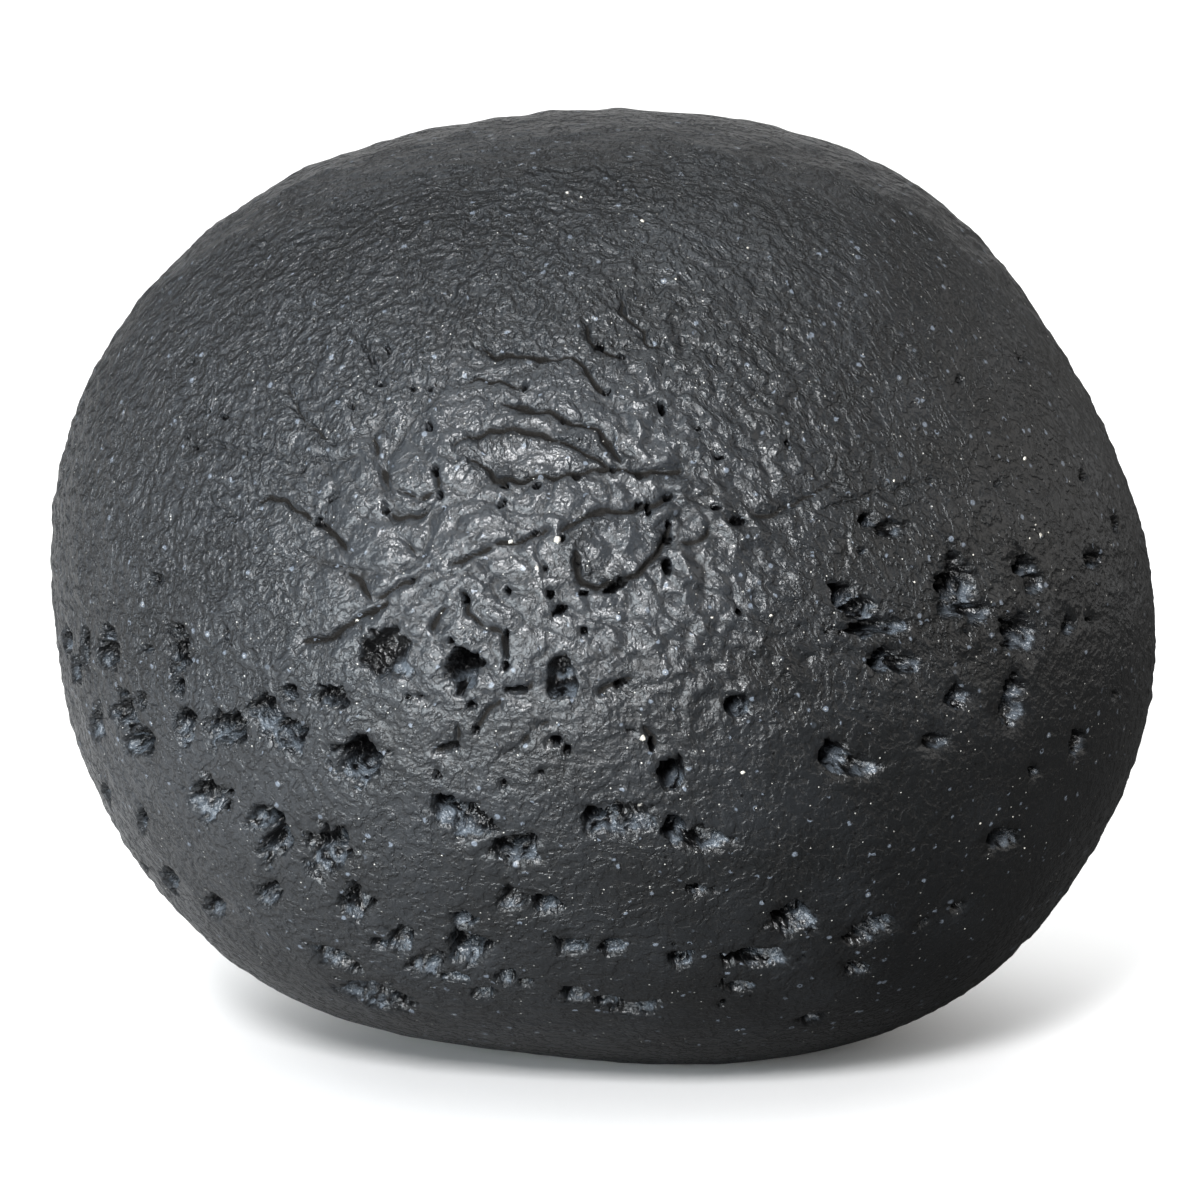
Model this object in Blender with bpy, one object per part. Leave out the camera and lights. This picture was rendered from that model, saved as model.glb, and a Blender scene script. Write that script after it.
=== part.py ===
"""A dark, rounded stone with a pitted and folded skin, resting on a small flat spot.

The stone is one solid. Its form is a distance from its middle for every direction: an outline
seen from the front, rounded over towards a front point and a back point. Pits and folds sink
that form, the mesh is thinned where it is smooth, and the foot is cut flat. The origin is on
the floor, in the middle of the stone's box.
"""

import itertools
import math

import bmesh
import bpy
import numpy as np

# All sizes and places below are in millimetres, and the finished mesh is in metres.
MM = 0.001

# Radius of the outline seen from the front, every 15 degrees, anticlockwise from the right.
OUTLINE = (
    90.5, 87.8, 85.5, 85.5, 84.1, 81.5, 80.1, 81.0, 84.1, 87.6, 90.0, 90.9,
    89.3, 88.3, 86.7, 84.1, 79.7, 75.7, 75.2, 78.4, 83.4, 88.1, 90.0, 91.3,
)

# How far the stone reaches out of the outline's plane, to the front and to the back.
FRONT_REACH = 76.0
BACK_REACH = 80.0

# Where the outline's middle stands: this high above the floor, and this far right and back.
MIDDLE_HEIGHT = 74.2
MIDDLE_RIGHT = -0.65
MIDDLE_BACK = -2.15

# The outline's plane leans back by this much, and places on the front are seen from this far.
LEAN = math.radians(12)
VIEWING_DISTANCE = 1500.0

# The first waves of the outline shape the whole stone. The others are bumps near the outline.
BROAD_WAVES = 3

# Low swells, stronger on the back than on the front.
SWELLS = 9
SWELL_HEIGHT = 3.4
SWELL_ON_FRONT = 0.25
SWELL_SEED = 11

# Pillows of skin between the folds: their height, size and seed, the place and half size of
# the folded field on the front (right, up), and how wide the folded patches are elsewhere.
PILLOW_HEIGHT = 1.3
PILLOW_SIZE = (13.0, 11.0, 6.5)
PILLOW_BEND = 3.0
PILLOW_SEED = 4
FOLDED_FIELD = (-12.0, 8.0)
FOLDED_FIELD_HALF_SIZE = (46.0, 34.0)
FOLDED_PATCH_SIZE = 52.0
FOLDED_PATCH_SEED = 9

# The random slopes that the noise picks from, and the whole numbers that mix a lattice corner.
NOISE_SLOPES = 64
NOISE_MIXERS = np.array((73856093, 19349663, 83492791))

# How steeply a pit's wall drops inside its rim, and half the width of a fold's groove.
PIT_WALL = 1.9
FOLD_HALF_WIDTH = 0.9

# Pits on the front: right and up of the middle, width, height, turn in degrees, depth.
LEFT_RIM_PITS = (
    (-87.0, -6.5, 1.4, 3.9, 0, 1.5),
    (-85.6, -11.1, 2.0, 4.3, 0, 1.5),
    (-80.5, -5.2, 2.0, 2.6, 0, 1.6),
    (-80.5, -9.0, 3.3, 4.9, 0, 1.2),
    (-82.3, -20.0, 2.0, 5.6, 0, 1.5),
    (-80.7, -31.6, 1.4, 3.3, 0, 1.2),
    (-74.8, -36.0, 1.4, 3.6, 0, 1.4),
    (-70.3, -45.8, 2.9, 4.3, 0, 1.3),
)
LEFT_PITS = (
    (-69.0, -9.0, 2.6, 5.6, 0, 1.5),
    (-61.2, -5.6, 1.6, 2.3, 0, 1.6),
    (-69.0, -14.1, 2.0, 2.3, 0, 1.6),
    (-77.7, -18.8, 3.9, 4.9, 0, 1.6),
    (-75.7, -23.7, 4.9, 3.3, 0, 1.6),
    (-67.9, -20.4, 3.3, 5.9, 0, 2.0),
    (-61.4, -21.3, 5.6, 4.9, 0, 2.2),
    (-54.8, -18.3, 4.3, 5.6, 0, 2.0),
    (-50.7, -15.1, 2.3, 2.6, 0, 1.4),
    (-50.9, -22.1, 4.9, 5.2, 0, 2.2),
    (-44.2, -16.0, 4.6, 3.6, 0, 1.4),
    (-64.3, -32.7, 4.9, 6.2, 0, 2.2),
)
LOW_LEFT_PITS = (
    (-55.3, -35.7, 4.3, 3.9, 0, 1.8),
    (-52.4, -38.9, 3.9, 4.3, 0, 2.0),
    (-54.5, -40.9, 2.6, 4.6, 0, 1.6),
    (-44.2, -40.9, 5.9, 5.6, 0, 2.4),
    (-47.1, -44.3, 4.3, 1.3, -50, 1.0),
    (-54.3, -48.3, 3.3, 3.9, 0, 1.5),
    (-39.3, -26.5, 6.5, 6.5, 0, 3.0),
    (-40.1, -49.9, 4.3, 4.9, 0, 1.8),
    (-62.8, -50.4, 2.6, 3.6, 0, 1.3),
)
BOTTOM_PITS = (
    (-43.4, -58.6, 7.5, 2.6, -25, 1.5),
    (-36.0, -56.4, 2.9, 2.3, 0, 1.2),
    (-36.8, -64.6, 9.8, 3.9, -15, 1.8),
    (-32.7, -55.6, 4.3, 3.3, 0, 1.4),
    (-28.6, -59.7, 5.9, 2.6, 0, 1.4),
    (-22.4, -52.4, 3.9, 2.3, 0, 1.3),
    (-21.8, -57.3, 6.2, 4.9, 0, 2.2),
    (-15.5, -61.8, 3.3, 2.3, 0, 1.2),
    (-18.8, -64.3, 4.3, 2.0, 0, 1.1),
    (-4.6, -56.8, 4.9, 2.3, 0, 1.4),
    (-4.1, -64.8, 4.9, 2.3, 0, 1.3),
    (2.0, -56.8, 4.3, 2.3, 0, 1.3),
    (6.5, -66.7, 6.5, 2.3, 0, 1.3),
    (13.1, -58.9, 3.9, 2.9, 0, 1.5),
    (22.9, -63.3, 4.9, 2.0, 0, 1.2),
    (25.7, -58.7, 10.8, 2.9, 0, 1.8),
    (32.2, -52.0, 5.6, 4.9, 0, 2.2),
    (42.2, -60.2, 4.3, 2.3, 0, 1.2),
    (44.5, -53.7, 8.2, 2.9, 20, 1.5),
    (-9.0, -49.9, 4.3, 2.9, 0, 1.5),
)
MIDDLE_PITS = (
    (-25.0, -34.0, 4.3, 3.3, 0, 2.2),
    (-22.1, -36.0, 8.2, 4.3, -20, 1.4),
    (-13.9, -40.9, 7.2, 4.3, 0, 1.8),
    (-0.5, -36.0, 4.6, 3.9, 0, 2.0),
    (4.1, -36.0, 9.2, 4.6, 0, 1.2),
    (12.3, -37.6, 3.9, 3.9, 0, 2.4),
    (16.9, -39.3, 6.5, 3.9, 0, 1.2),
    (11.8, -29.1, 3.9, 4.3, 0, 2.0),
    (38.4, -25.7, 4.9, 4.3, 0, 3.0),
    (42.5, -27.5, 5.6, 2.9, 0, 1.2),
)
RIGHT_PITS = (
    (39.6, 0.7, 3.9, 3.9, 0, 3.5),
    (42.9, -1.3, 4.3, 3.6, 0, 1.6),
    (44.8, -4.6, 10.5, 2.3, 5, 2.0),
    (46.3, -10.1, 3.9, 3.6, 0, 3.0),
    (50.2, -10.6, 4.6, 2.9, 0, 1.3),
    (43.8, 13.1, 2.6, 2.3, 0, 1.8),
    (58.1, 1.6, 5.6, 8.2, 0, 2.4),
    (62.2, -2.0, 3.9, 3.3, 0, 1.4),
    (70.0, 5.4, 3.3, 2.9, 0, 1.6),
    (68.7, -5.4, 5.6, 4.3, 0, 2.0),
    (58.4, -15.9, 3.6, 3.3, 0, 1.6),
    (67.9, -14.7, 3.6, 3.3, 0, 1.4),
    (67.4, -17.5, 3.9, 5.9, 0, 1.6),
    (78.2, -23.7, 2.6, 3.6, 0, 1.3),
    (65.9, -39.3, 4.9, 2.9, 0, 1.3),
)
CENTRE_PITS = (
    (-22.4, -11.1, 4.6, 5.6, 0, 2.5),
    (-34.7, -8.5, 6.5, 7.2, 60, 1.2),
    (-6.5, -11.1, 3.3, 3.9, 0, 1.6),
    (-6.1, -13.9, 5.6, 3.6, 0, 1.6),
    (22.6, -17.2, 3.9, 3.3, 0, 1.5),
)
FRONT_PITS = (
    LEFT_RIM_PITS + LEFT_PITS + LOW_LEFT_PITS + BOTTOM_PITS + MIDDLE_PITS + RIGHT_PITS + CENTRE_PITS
)

# Folds on the front: depth, then the places (right, up) that the fold's bottom runs through.
FRONT_FOLDS = (
    (1.5, ((-49.1, -7.4), (-44.2, -6.2), (-40.9, -4.1), (-35.2, -0.2))),
    (0.8, ((-36.8, 0.3), (-33.5, 1.6), (-31.1, 3.3), (-27.2, 5.1))),
    (1.0, ((-24.5, 6.1), (-20.0, 7.4), (-16.4, 9.0), (-9.0, 11.3))),
    (1.1, ((-6.1, 11.5), (-4.1, 13.1), (2.0, 14.7), (6.5, 15.1), (11.1, 16.9))),
    (1.5, ((-4.4, 8.2), (-2.8, 2.9), (-0.3, 1.8), (3.3, 2.8), (9.0, 7.4), (11.3, 12.6))),
    (0.9, ((-23.7, 25.4), (-16.4, 27.8), (-11.5, 27.6), (-6.5, 26.2), (1.6, 21.6))),
    (1.1, ((-21.3, 22.9), (-17.2, 20.1), (-12.3, 19.5), (-1.6, 21.1), (7.4, 20.3), (13.6, 21.6))),
    (1.0, ((-15.5, 32.2), (-9.0, 30.4), (-0.8, 27.8), (1.6, 25.8), (3.3, 23.2))),
    (0.8, ((-22.6, 36.5), (-17.2, 35.8), (-11.5, 35.7))),
    (0.9, ((-20.0, 41.7), (-18.0, 40.6), (-11.5, 39.6), (-4.1, 39.6), (1.1, 34.2))),
    (0.8, ((-2.1, 45.0), (0.3, 41.4), (3.6, 39.9))),
    (0.8, ((-37.6, 26.7), (-35.2, 22.1), (-35.0, 18.5))),
    (1.2, ((-56.3, 16.7), (-51.5, 16.2), (-46.8, 13.3), (-41.7, 8.3))),
    (1.0, ((-41.4, 4.3), (-39.3, 2.8), (-37.8, 0.3))),
    (0.8, ((-33.0, 18.0), (-28.6, 16.9), (-26.7, 20.9))),
    (0.9, ((-22.4, 1.3), (-21.6, -2.0), (-16.4, -5.2), (-15.2, -9.0))),
    (1.2, ((-27.5, -4.9), (-25.4, -1.6))),
    (0.8, ((24.9, 13.7), (29.4, 14.4), (36.8, 18.5), (39.3, 19.3))),
    (0.9, ((13.1, 9.8), (17.5, 10.3), (18.2, 11.6))),
    (1.0, ((-15.5, -15.1), (-11.5, -14.6), (-11.0, -13.1))),
    (1.0, ((-27.0, -24.9), (-23.2, -23.2), (-23.4, -20.6))),
    (0.8, ((-20.4, -20.9), (-16.4, -16.4))),
    (0.9, ((-15.9, -25.5), (-9.0, -20.0))),
    (1.1, ((-9.0, -23.7), (-6.9, -23.2), (-5.2, -24.5))),
    (1.0, ((0.0, -15.2), (4.4, -12.9))),
)

# Pits on the sides, the back, the top and the underside, scattered with a gap between them.
OTHER_PITS = 105
OTHER_PIT_SEED = 5
OTHER_PIT_GAP = 7.5
OTHER_PIT_WIDTHS = (2.6, 8.5)
OTHER_PIT_DEPTH = 0.42

# Folds on the back: each starts somewhere there and wanders, mostly level.
OTHER_FOLDS = 16
OTHER_FOLD_SEED = 23
OTHER_FOLD_STEP = 4.5
OTHER_FOLD_DEPTHS = (0.8, 1.4)

# Fineness of the mesh before and after thinning, and the block that cuts the foot flat.
SPHERE_SUBDIVISIONS = 7
MOST_TRIANGLES = 9700
FLOOR_BLOCK_SIZE = 300.0

STONE_COLOUR = (0.036, 0.038, 0.042, 1.0)
STONE_ROUGHNESS = 0.42


def clear_scene():
    for thing in list(bpy.data.objects):
        bpy.data.objects.remove(thing, do_unlink=True)


def unit(vectors):
    return vectors / np.linalg.norm(vectors, axis=-1, keepdims=True)


def from_front(across, up, out):
    """Points given by their place on the outline's leaning plane and their reach out of it."""
    back = up * math.sin(LEAN) - out * math.cos(LEAN)
    height = up * math.cos(LEAN) + out * math.sin(LEAN)
    return np.stack([across, back, height], axis=-1)


def seen_from_front(points):
    """The reverse of from_front: across, up and out of the outline's plane."""
    up = points[:, 1] * math.sin(LEAN) + points[:, 2] * math.cos(LEAN)
    out = points[:, 2] * math.sin(LEAN) - points[:, 1] * math.cos(LEAN)
    return points[:, 0], up, out


def outline_radius(angle):
    """Radius of the outline at each angle, as its broad shape and the small bumps on it.

    The waves that pass through the measured radii are added up, the long ones apart from
    the short ones.
    """
    waves = np.fft.rfft(OUTLINE) / len(OUTLINE)
    waves[1:-1] *= 2
    turns = np.arange(len(waves))[:, None] * angle
    terms = (waves[:, None] * np.exp(1j * turns)).real
    return terms[:BROAD_WAVES].sum(axis=0), terms[BROAD_WAVES:].sum(axis=0)


def noise(points, seed):
    """Smooth random values from about -1 to 1, a wave or so to each unit of length.

    Every corner of a cubic lattice has a random slope, and a point blends the eight slopes
    round it.
    """
    slopes = unit(np.random.default_rng(seed).normal(size=(NOISE_SLOPES, 3)))
    cell = np.floor(points).astype(np.int64)
    inside = points - cell
    fade = inside**3 * (inside * (inside * 6 - 15) + 10)
    total = np.zeros(len(points))
    for corner in itertools.product((0, 1), repeat=3):
        mixed = (cell + corner) @ NOISE_MIXERS
        slope = slopes[(mixed ^ (mixed >> 9)) % NOISE_SLOPES]
        weight = np.where(corner, fade, 1 - fade).prod(axis=1)
        total += weight * ((inside - corner) * slope).sum(axis=1)
    return 1.6 * total


def pillows(points):
    """Rounded pillows of skin with sharp valleys between them, in the folded field and patches.

    The height is the root of the noise's distance from nought, so the valleys follow the
    lines where the noise is nought. A second noise bends those lines.
    """
    across, up, out = seen_from_front(points)
    bend = noise(points / (2 * PILLOW_SIZE[0]), PILLOW_SEED + 1) * PILLOW_BEND
    height = np.sqrt(np.abs(noise((points + bend[:, None]) / PILLOW_SIZE, PILLOW_SEED)))
    right, high = FOLDED_FIELD
    half_width, half_height = FOLDED_FIELD_HALF_SIZE
    away = ((across - right) / half_width) ** 2 + ((up - high) / half_height) ** 2
    field = np.where(out > 0, np.exp(-(away**2)), 0)
    patch = np.clip(2.5 * noise(points / FOLDED_PATCH_SIZE, FOLDED_PATCH_SEED), 0, 1)
    patch *= np.clip(-out / BACK_REACH * 2, 0, 1)
    return PILLOW_HEIGHT * (height - 0.5) * np.maximum(field, patch)


def swells(directions, out):
    """Low swells: a few seeded waves through the stone, weaker on the front, none at the outline."""
    draw = np.random.default_rng(SWELL_SEED)
    waves = unit(draw.normal(size=(SWELLS, 3))) * draw.uniform(2.5, 6.0, (SWELLS, 1))
    phases = draw.uniform(0, math.tau, SWELLS)
    height = np.cos(directions @ waves.T + phases).sum(axis=1) / math.sqrt(SWELLS)
    weight = np.where(out > 0, SWELL_ON_FRONT, 1.0) * out**2
    return SWELL_HEIGHT * height * weight


def form_radius(directions):
    """Distance from the middle to the smooth form in each direction.

    Away from the outline's plane the radius follows an ellipse, from the outline's radius
    to the reach at the front or the back. The outline's bumps fade with the same distance.
    """
    across, up, out = seen_from_front(directions)
    broad, bumps = outline_radius(np.arctan2(up, across))
    flat = np.hypot(across, up)
    rim = broad + bumps * flat**2
    reach = np.where(out > 0, FRONT_REACH, BACK_REACH)
    return 1 / np.sqrt((flat / rim) ** 2 + (out / reach) ** 2) + swells(directions, out)


def points_seen_at(places):
    """The form's points seen at places (right, up) on the front, found by halving their reach."""
    places = np.asarray(places, float)
    near = np.zeros(len(places))
    far = np.full(len(places), 1.5 * FRONT_REACH)
    for _ in range(40):
        out = (near + far) / 2
        nearer = 1 - out / VIEWING_DISTANCE
        points = from_front(places[:, 0] * nearer, places[:, 1] * nearer, out)
        inside = np.linalg.norm(points, axis=1) < form_radius(unit(points))
        near = np.where(inside, out, near)
        far = np.where(inside, far, out)
    return points


def front_pits():
    """The front's pits as (centre, width's axis, height's axis, half width, half height, depth)."""
    centres = points_seen_at([pit[:2] for pit in FRONT_PITS])
    pits = []
    for centre, (_, _, width, height, turn, depth) in zip(centres, FRONT_PITS):
        angle = math.radians(turn)
        wide = from_front(math.cos(angle), math.sin(angle), 0.0)
        tall = from_front(-math.sin(angle), math.cos(angle), 0.0)
        pits.append((centre, wide, tall, width / 2, height / 2, depth))
    return pits


def other_pits():
    """Seeded pits on the sides that the front doesn't show, more of them low than high."""
    draw = np.random.default_rng(OTHER_PIT_SEED)
    pits = []
    while len(pits) < OTHER_PITS:
        direction = unit(draw.normal(size=3))
        _, _, out = seen_from_front(direction[None])
        keep = draw.uniform() < (1.0 if direction[2] < 0.1 else 0.4)
        if out[0] > -0.12 or direction[2] < -0.8 or not keep:
            continue
        centre = direction * form_radius(direction[None])[0]
        if any(np.linalg.norm(centre - pit[0]) < OTHER_PIT_GAP for pit in pits):
            continue
        least, most = OTHER_PIT_WIDTHS
        width = least + (most - least) * draw.uniform() ** 1.8
        height = width * draw.uniform(0.55, 1.0)
        wide = unit(np.cross((0.0, 0.0, 1.0), direction))
        tall = np.cross(direction, wide)
        depth = OTHER_PIT_DEPTH * height
        pits.append((centre, wide, tall, width / 2, height / 2, depth))
    return pits


def other_folds():
    """Seeded folds on the back, as (depth, points), each a wandering line over the form."""
    draw = np.random.default_rng(OTHER_FOLD_SEED)
    folds = []
    while len(folds) < OTHER_FOLDS:
        direction = unit(draw.normal(size=3))
        if direction[1] < 0.35 or abs(direction[2]) > 0.7:
            continue
        heading = draw.uniform(-0.6, 0.6)
        bend = draw.uniform(-0.25, 0.25)
        route = []
        for _ in range(draw.integers(4, 9)):
            radius = form_radius(direction[None])[0]
            route.append(direction * radius)
            level = unit(np.cross((0.0, 0.0, 1.0), direction))
            rise = np.cross(direction, level)
            step = level * math.cos(heading) + rise * math.sin(heading)
            direction = unit(direction + step * OTHER_FOLD_STEP / radius)
            heading += bend + draw.uniform(-0.25, 0.25)
        folds.append((draw.uniform(*OTHER_FOLD_DEPTHS), np.array(route)))
    return folds


def sunk_by_pits(points, pits):
    """How deep the pits sink each point: the deepest wins, with a level floor and a steep wall."""
    sunk = np.zeros(len(points))
    for centre, wide, tall, half_width, half_height, depth in pits:
        offset = points - centre
        near = (offset**2).sum(axis=1) < (3 * max(half_width, half_height)) ** 2
        share = (offset[near] @ wide / half_width) ** 2 + (offset[near] @ tall / half_height) ** 2
        sunk[near] = np.maximum(sunk[near], depth * np.exp(-PIT_WALL * share**2))
    return sunk


def sunk_by_folds(points, folds):
    """How deep the folds sink each point: a groove round the nearest stretch of each fold."""
    sunk = np.zeros(len(points))
    for depth, route in folds:
        for start, end in zip(route[:-1], route[1:]):
            leg = end - start
            offset = points - start
            share = np.clip(offset @ leg / (leg @ leg), 0, 1)
            gap = np.linalg.norm(offset - share[:, None] * leg, axis=1)
            sunk = np.maximum(sunk, depth * np.exp(-((gap / FOLD_HALF_WIDTH) ** 2)))
    return sunk


def shape_stone(mesh):
    """Moves the sphere's points out to the stone's skin."""
    directions = np.empty(len(mesh.vertices) * 3)
    mesh.vertices.foreach_get("co", directions)
    directions = unit(directions.reshape(-1, 3))
    form = directions * form_radius(directions)[:, None]
    folds = [(depth, points_seen_at(places)) for depth, places in FRONT_FOLDS] + other_folds()
    sunk = np.maximum(sunk_by_pits(form, front_pits() + other_pits()), sunk_by_folds(form, folds))
    skin = form + directions * (pillows(form) - sunk)[:, None]
    skin += (MIDDLE_RIGHT, MIDDLE_BACK, MIDDLE_HEIGHT)
    mesh.vertices.foreach_set("co", (skin * MM).round(6).ravel())
    mesh.update()


def stone_material():
    material = bpy.data.materials.new("dark stone skin")
    material.use_nodes = True
    shader = material.node_tree.nodes["Principled BSDF"]
    shader.inputs["Base Color"].default_value = STONE_COLOUR
    shader.inputs["Roughness"].default_value = STONE_ROUGHNESS
    shader.inputs["Metallic"].default_value = 0.0
    return material


def add_object(name, mesh):
    thing = bpy.data.objects.new(name, mesh)
    bpy.context.scene.collection.objects.link(thing)
    return thing


def make_floor_block():
    """A block whose top is the floor. It cuts the foot and isn't part of the stone."""
    builder = bmesh.new()
    bmesh.ops.create_cube(builder, size=FLOOR_BLOCK_SIZE * MM)
    bmesh.ops.translate(builder, verts=builder.verts, vec=(0, 0, -FLOOR_BLOCK_SIZE / 2 * MM))
    mesh = bpy.data.meshes.new("floor_block")
    builder.to_mesh(mesh)
    builder.free()
    block = add_object("floor_block", mesh)
    block.hide_render = True
    block.display_type = "WIRE"
    return block


def make_stone():
    builder = bmesh.new()
    bmesh.ops.create_icosphere(builder, subdivisions=SPHERE_SUBDIVISIONS, radius=1.0)
    mesh = bpy.data.meshes.new("stone")
    builder.to_mesh(mesh)
    builder.free()
    shape_stone(mesh)
    mesh.shade_smooth()
    mesh.materials.append(stone_material())
    stone = add_object("stone", mesh)
    thin = stone.modifiers.new("thin where smooth", "DECIMATE")
    thin.ratio = MOST_TRIANGLES / len(mesh.polygons)
    foot = stone.modifiers.new("cut foot flat", "BOOLEAN")
    foot.operation = "DIFFERENCE"
    foot.object = make_floor_block()
    return stone


def main():
    clear_scene()
    make_stone()


main()
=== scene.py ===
# %% [markdown]
# # A dark stone with a pitted, folded skin
#
# The real thing is one natural stone, as large as a small melon. Its skin is dark grey with a
# satin shine. It has pits with rough floors, thin folds as on leather, small pebbly bumps and
# a few pale mineral grains.
#
# This lesson makes that skin as one surface. Every direction out of the stone's middle gets a
# distance, so the whole stone is a function of two angles, worked out with numpy as arrays.
#
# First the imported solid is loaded. It stays as the fixed frame: the skin is drawn round it in
# the same place, and takes the place of its plain look.

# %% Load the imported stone
import itertools
import math

import bpy
import numpy as np
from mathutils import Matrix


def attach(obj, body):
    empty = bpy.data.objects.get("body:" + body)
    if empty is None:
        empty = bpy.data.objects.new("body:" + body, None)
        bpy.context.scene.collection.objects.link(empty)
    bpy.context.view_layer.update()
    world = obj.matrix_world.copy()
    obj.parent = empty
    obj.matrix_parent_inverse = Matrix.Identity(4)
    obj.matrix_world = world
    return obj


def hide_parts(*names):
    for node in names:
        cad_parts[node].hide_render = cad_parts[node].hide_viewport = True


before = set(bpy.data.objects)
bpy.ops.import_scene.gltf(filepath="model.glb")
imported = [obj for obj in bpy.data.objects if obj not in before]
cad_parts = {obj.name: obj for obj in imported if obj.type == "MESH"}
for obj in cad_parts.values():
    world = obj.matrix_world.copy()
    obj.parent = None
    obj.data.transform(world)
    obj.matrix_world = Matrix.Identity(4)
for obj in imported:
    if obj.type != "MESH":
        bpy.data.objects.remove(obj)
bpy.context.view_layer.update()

# %% [markdown]
# ## Places on the stone
#
# Everything is measured in millimetres from the stone's middle, and turned into metres when
# the mesh is made. The stone's outline, as it is seen from the front, lies in a plane that
# leans back a little, because the viewer looks down on it by 12 degrees. So a place on the
# front is given by what the viewer sees: how far right and how far up of the middle it is.
# Things nearer to the viewer look larger, and `seen_from_front` allows for that.

# %% Measures and helpers for places
MM = 0.001
MIDDLE = np.array((-0.65, -2.15, 74.2))
LEAN = math.radians(12)
VIEWING_DISTANCE = 1500.0


def unit(vectors):
    """Each vector divided by its own length."""
    return vectors / np.linalg.norm(vectors, axis=-1, keepdims=True)


def from_front(across, up, out):
    """A point from its place on the leaning plane and its reach out of it, turned by the lean."""
    back = up * math.sin(LEAN) - out * math.cos(LEAN)
    height = up * math.cos(LEAN) + out * math.sin(LEAN)
    return np.stack([across, back, height], axis=-1)


def on_leaning_plane(points):
    """The reverse turn: across, up and out of the leaning plane."""
    up = points[:, 1] * math.sin(LEAN) + points[:, 2] * math.cos(LEAN)
    out = points[:, 2] * math.sin(LEAN) - points[:, 1] * math.cos(LEAN)
    return points[:, 0], up, out


def seen_from_front(points):
    """Right and up as the viewer sees them: across and up, over 1 - out / viewing distance."""
    across, up, out = on_leaning_plane(points)
    nearer = 1 - out / VIEWING_DISTANCE
    return across / nearer, up / nearer, out


# %% [markdown]
# ## The rounded form
#
# The stone is rounder than an egg and not quite regular: flatter on top, fuller at the lower
# right. A subdivided and sculpted sphere could give that, but then the outline would be hard
# to state. Here its radius is written down every 15 degrees round, and waves are passed
# through the 24 values (a Fourier series), so the outline is smooth between them. From the
# outline the form rounds over towards a front point and a back point as an ellipse does. A few
# long waves in all directions then take away the look of a turned part.

# %% Form of the stone
OUTLINE = (
    90.5, 87.8, 85.5, 85.5, 84.1, 81.5, 80.1, 81.0, 84.1, 87.6, 90.0, 90.9,
    89.3, 88.3, 86.7, 84.1, 79.7, 75.7, 75.2, 78.4, 83.4, 88.1, 90.0, 91.3,
)
FRONT_REACH = 76.0
BACK_REACH = 80.0
BROAD_WAVES = 3
SWELLS = 9
SWELL_HEIGHT = 3.4
SWELL_WAVES = (2.5, 6.0)
SWELL_ON_FRONT = 0.25
SWELL_SEED = 11
HALVINGS = 40


def outline_radius(angle):
    """The waves through OUTLINE added up at each angle: the first few, and apart the rest."""
    waves = np.fft.rfft(OUTLINE) / len(OUTLINE)
    waves[1:-1] *= 2
    broad = np.zeros(len(angle))
    bumps = np.zeros(len(angle))
    for turns, wave in enumerate(waves):
        term = (wave * np.exp(1j * turns * angle)).real
        if turns < BROAD_WAVES:
            broad += term
        else:
            bumps += term
    return broad, bumps


def swells(directions, out):
    """Cosine waves through the stone at seeded headings, times out squared, less on the front."""
    draw = np.random.default_rng(SWELL_SEED)
    waves = unit(draw.normal(size=(SWELLS, 3))) * draw.uniform(*SWELL_WAVES, (SWELLS, 1))
    phases = draw.uniform(0, math.tau, SWELLS)
    height = np.cos(directions @ waves.T + phases).sum(axis=1) / math.sqrt(SWELLS)
    weight = np.where(out > 0, SWELL_ON_FRONT, 1.0) * out**2
    return SWELL_HEIGHT * height * weight


def form_radius(directions):
    """1 / root of (flat / rim)^2 + (out / reach)^2, plus the swells.

    flat is the direction's share in the outline's plane and out is its share out of it, so
    this is an ellipse from the outline's radius to the reach at the front or the back.
    """
    across, up, out = on_leaning_plane(directions)
    broad, bumps = outline_radius(np.arctan2(up, across))
    flat = np.hypot(across, up)
    rim = broad + bumps * flat**2
    reach = np.where(out > 0, FRONT_REACH, BACK_REACH)
    return 1 / np.sqrt((flat / rim) ** 2 + (out / reach) ** 2) + swells(directions, out)


def points_seen_at(places):
    """The form's points that the viewer sees at places (right, up).

    The line of sight is halved again and again between the leaning plane and a point in
    front of the stone, and each time the half that holds the skin is kept.
    """
    places = np.asarray(places, float)
    near = np.zeros(len(places))
    far = np.full(len(places), 1.5 * FRONT_REACH)
    for _ in range(HALVINGS):
        out = (near + far) / 2
        nearer = 1 - out / VIEWING_DISTANCE
        points = from_front(places[:, 0] * nearer, places[:, 1] * nearer, out)
        inside = np.linalg.norm(points, axis=1) < form_radius(unit(points))
        near = np.where(inside, out, near)
        far = np.where(inside, far, out)
    return points


print("nearest point of the form:", points_seen_at([(0, 0)])[0].round(1))

# %% [markdown]
# ## Noise
#
# A natural skin has no two places alike, so its bumps come from noise: values that look random
# and still change smoothly. Blender has such noise in its materials. The shape needs the same
# in numpy. Every corner of a cubic lattice has a random slope, and a point blends the slopes
# of the eight corners round it. Dividing the points by a size in millimetres sets how wide the
# bumps are, and three different sizes make them longer one way.

# %% Noise in numpy
NOISE_SLOPES = 64
NOISE_GAIN = 1.6
NOISE_MIXERS = np.array((73856093, 19349663, 83492791))


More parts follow.
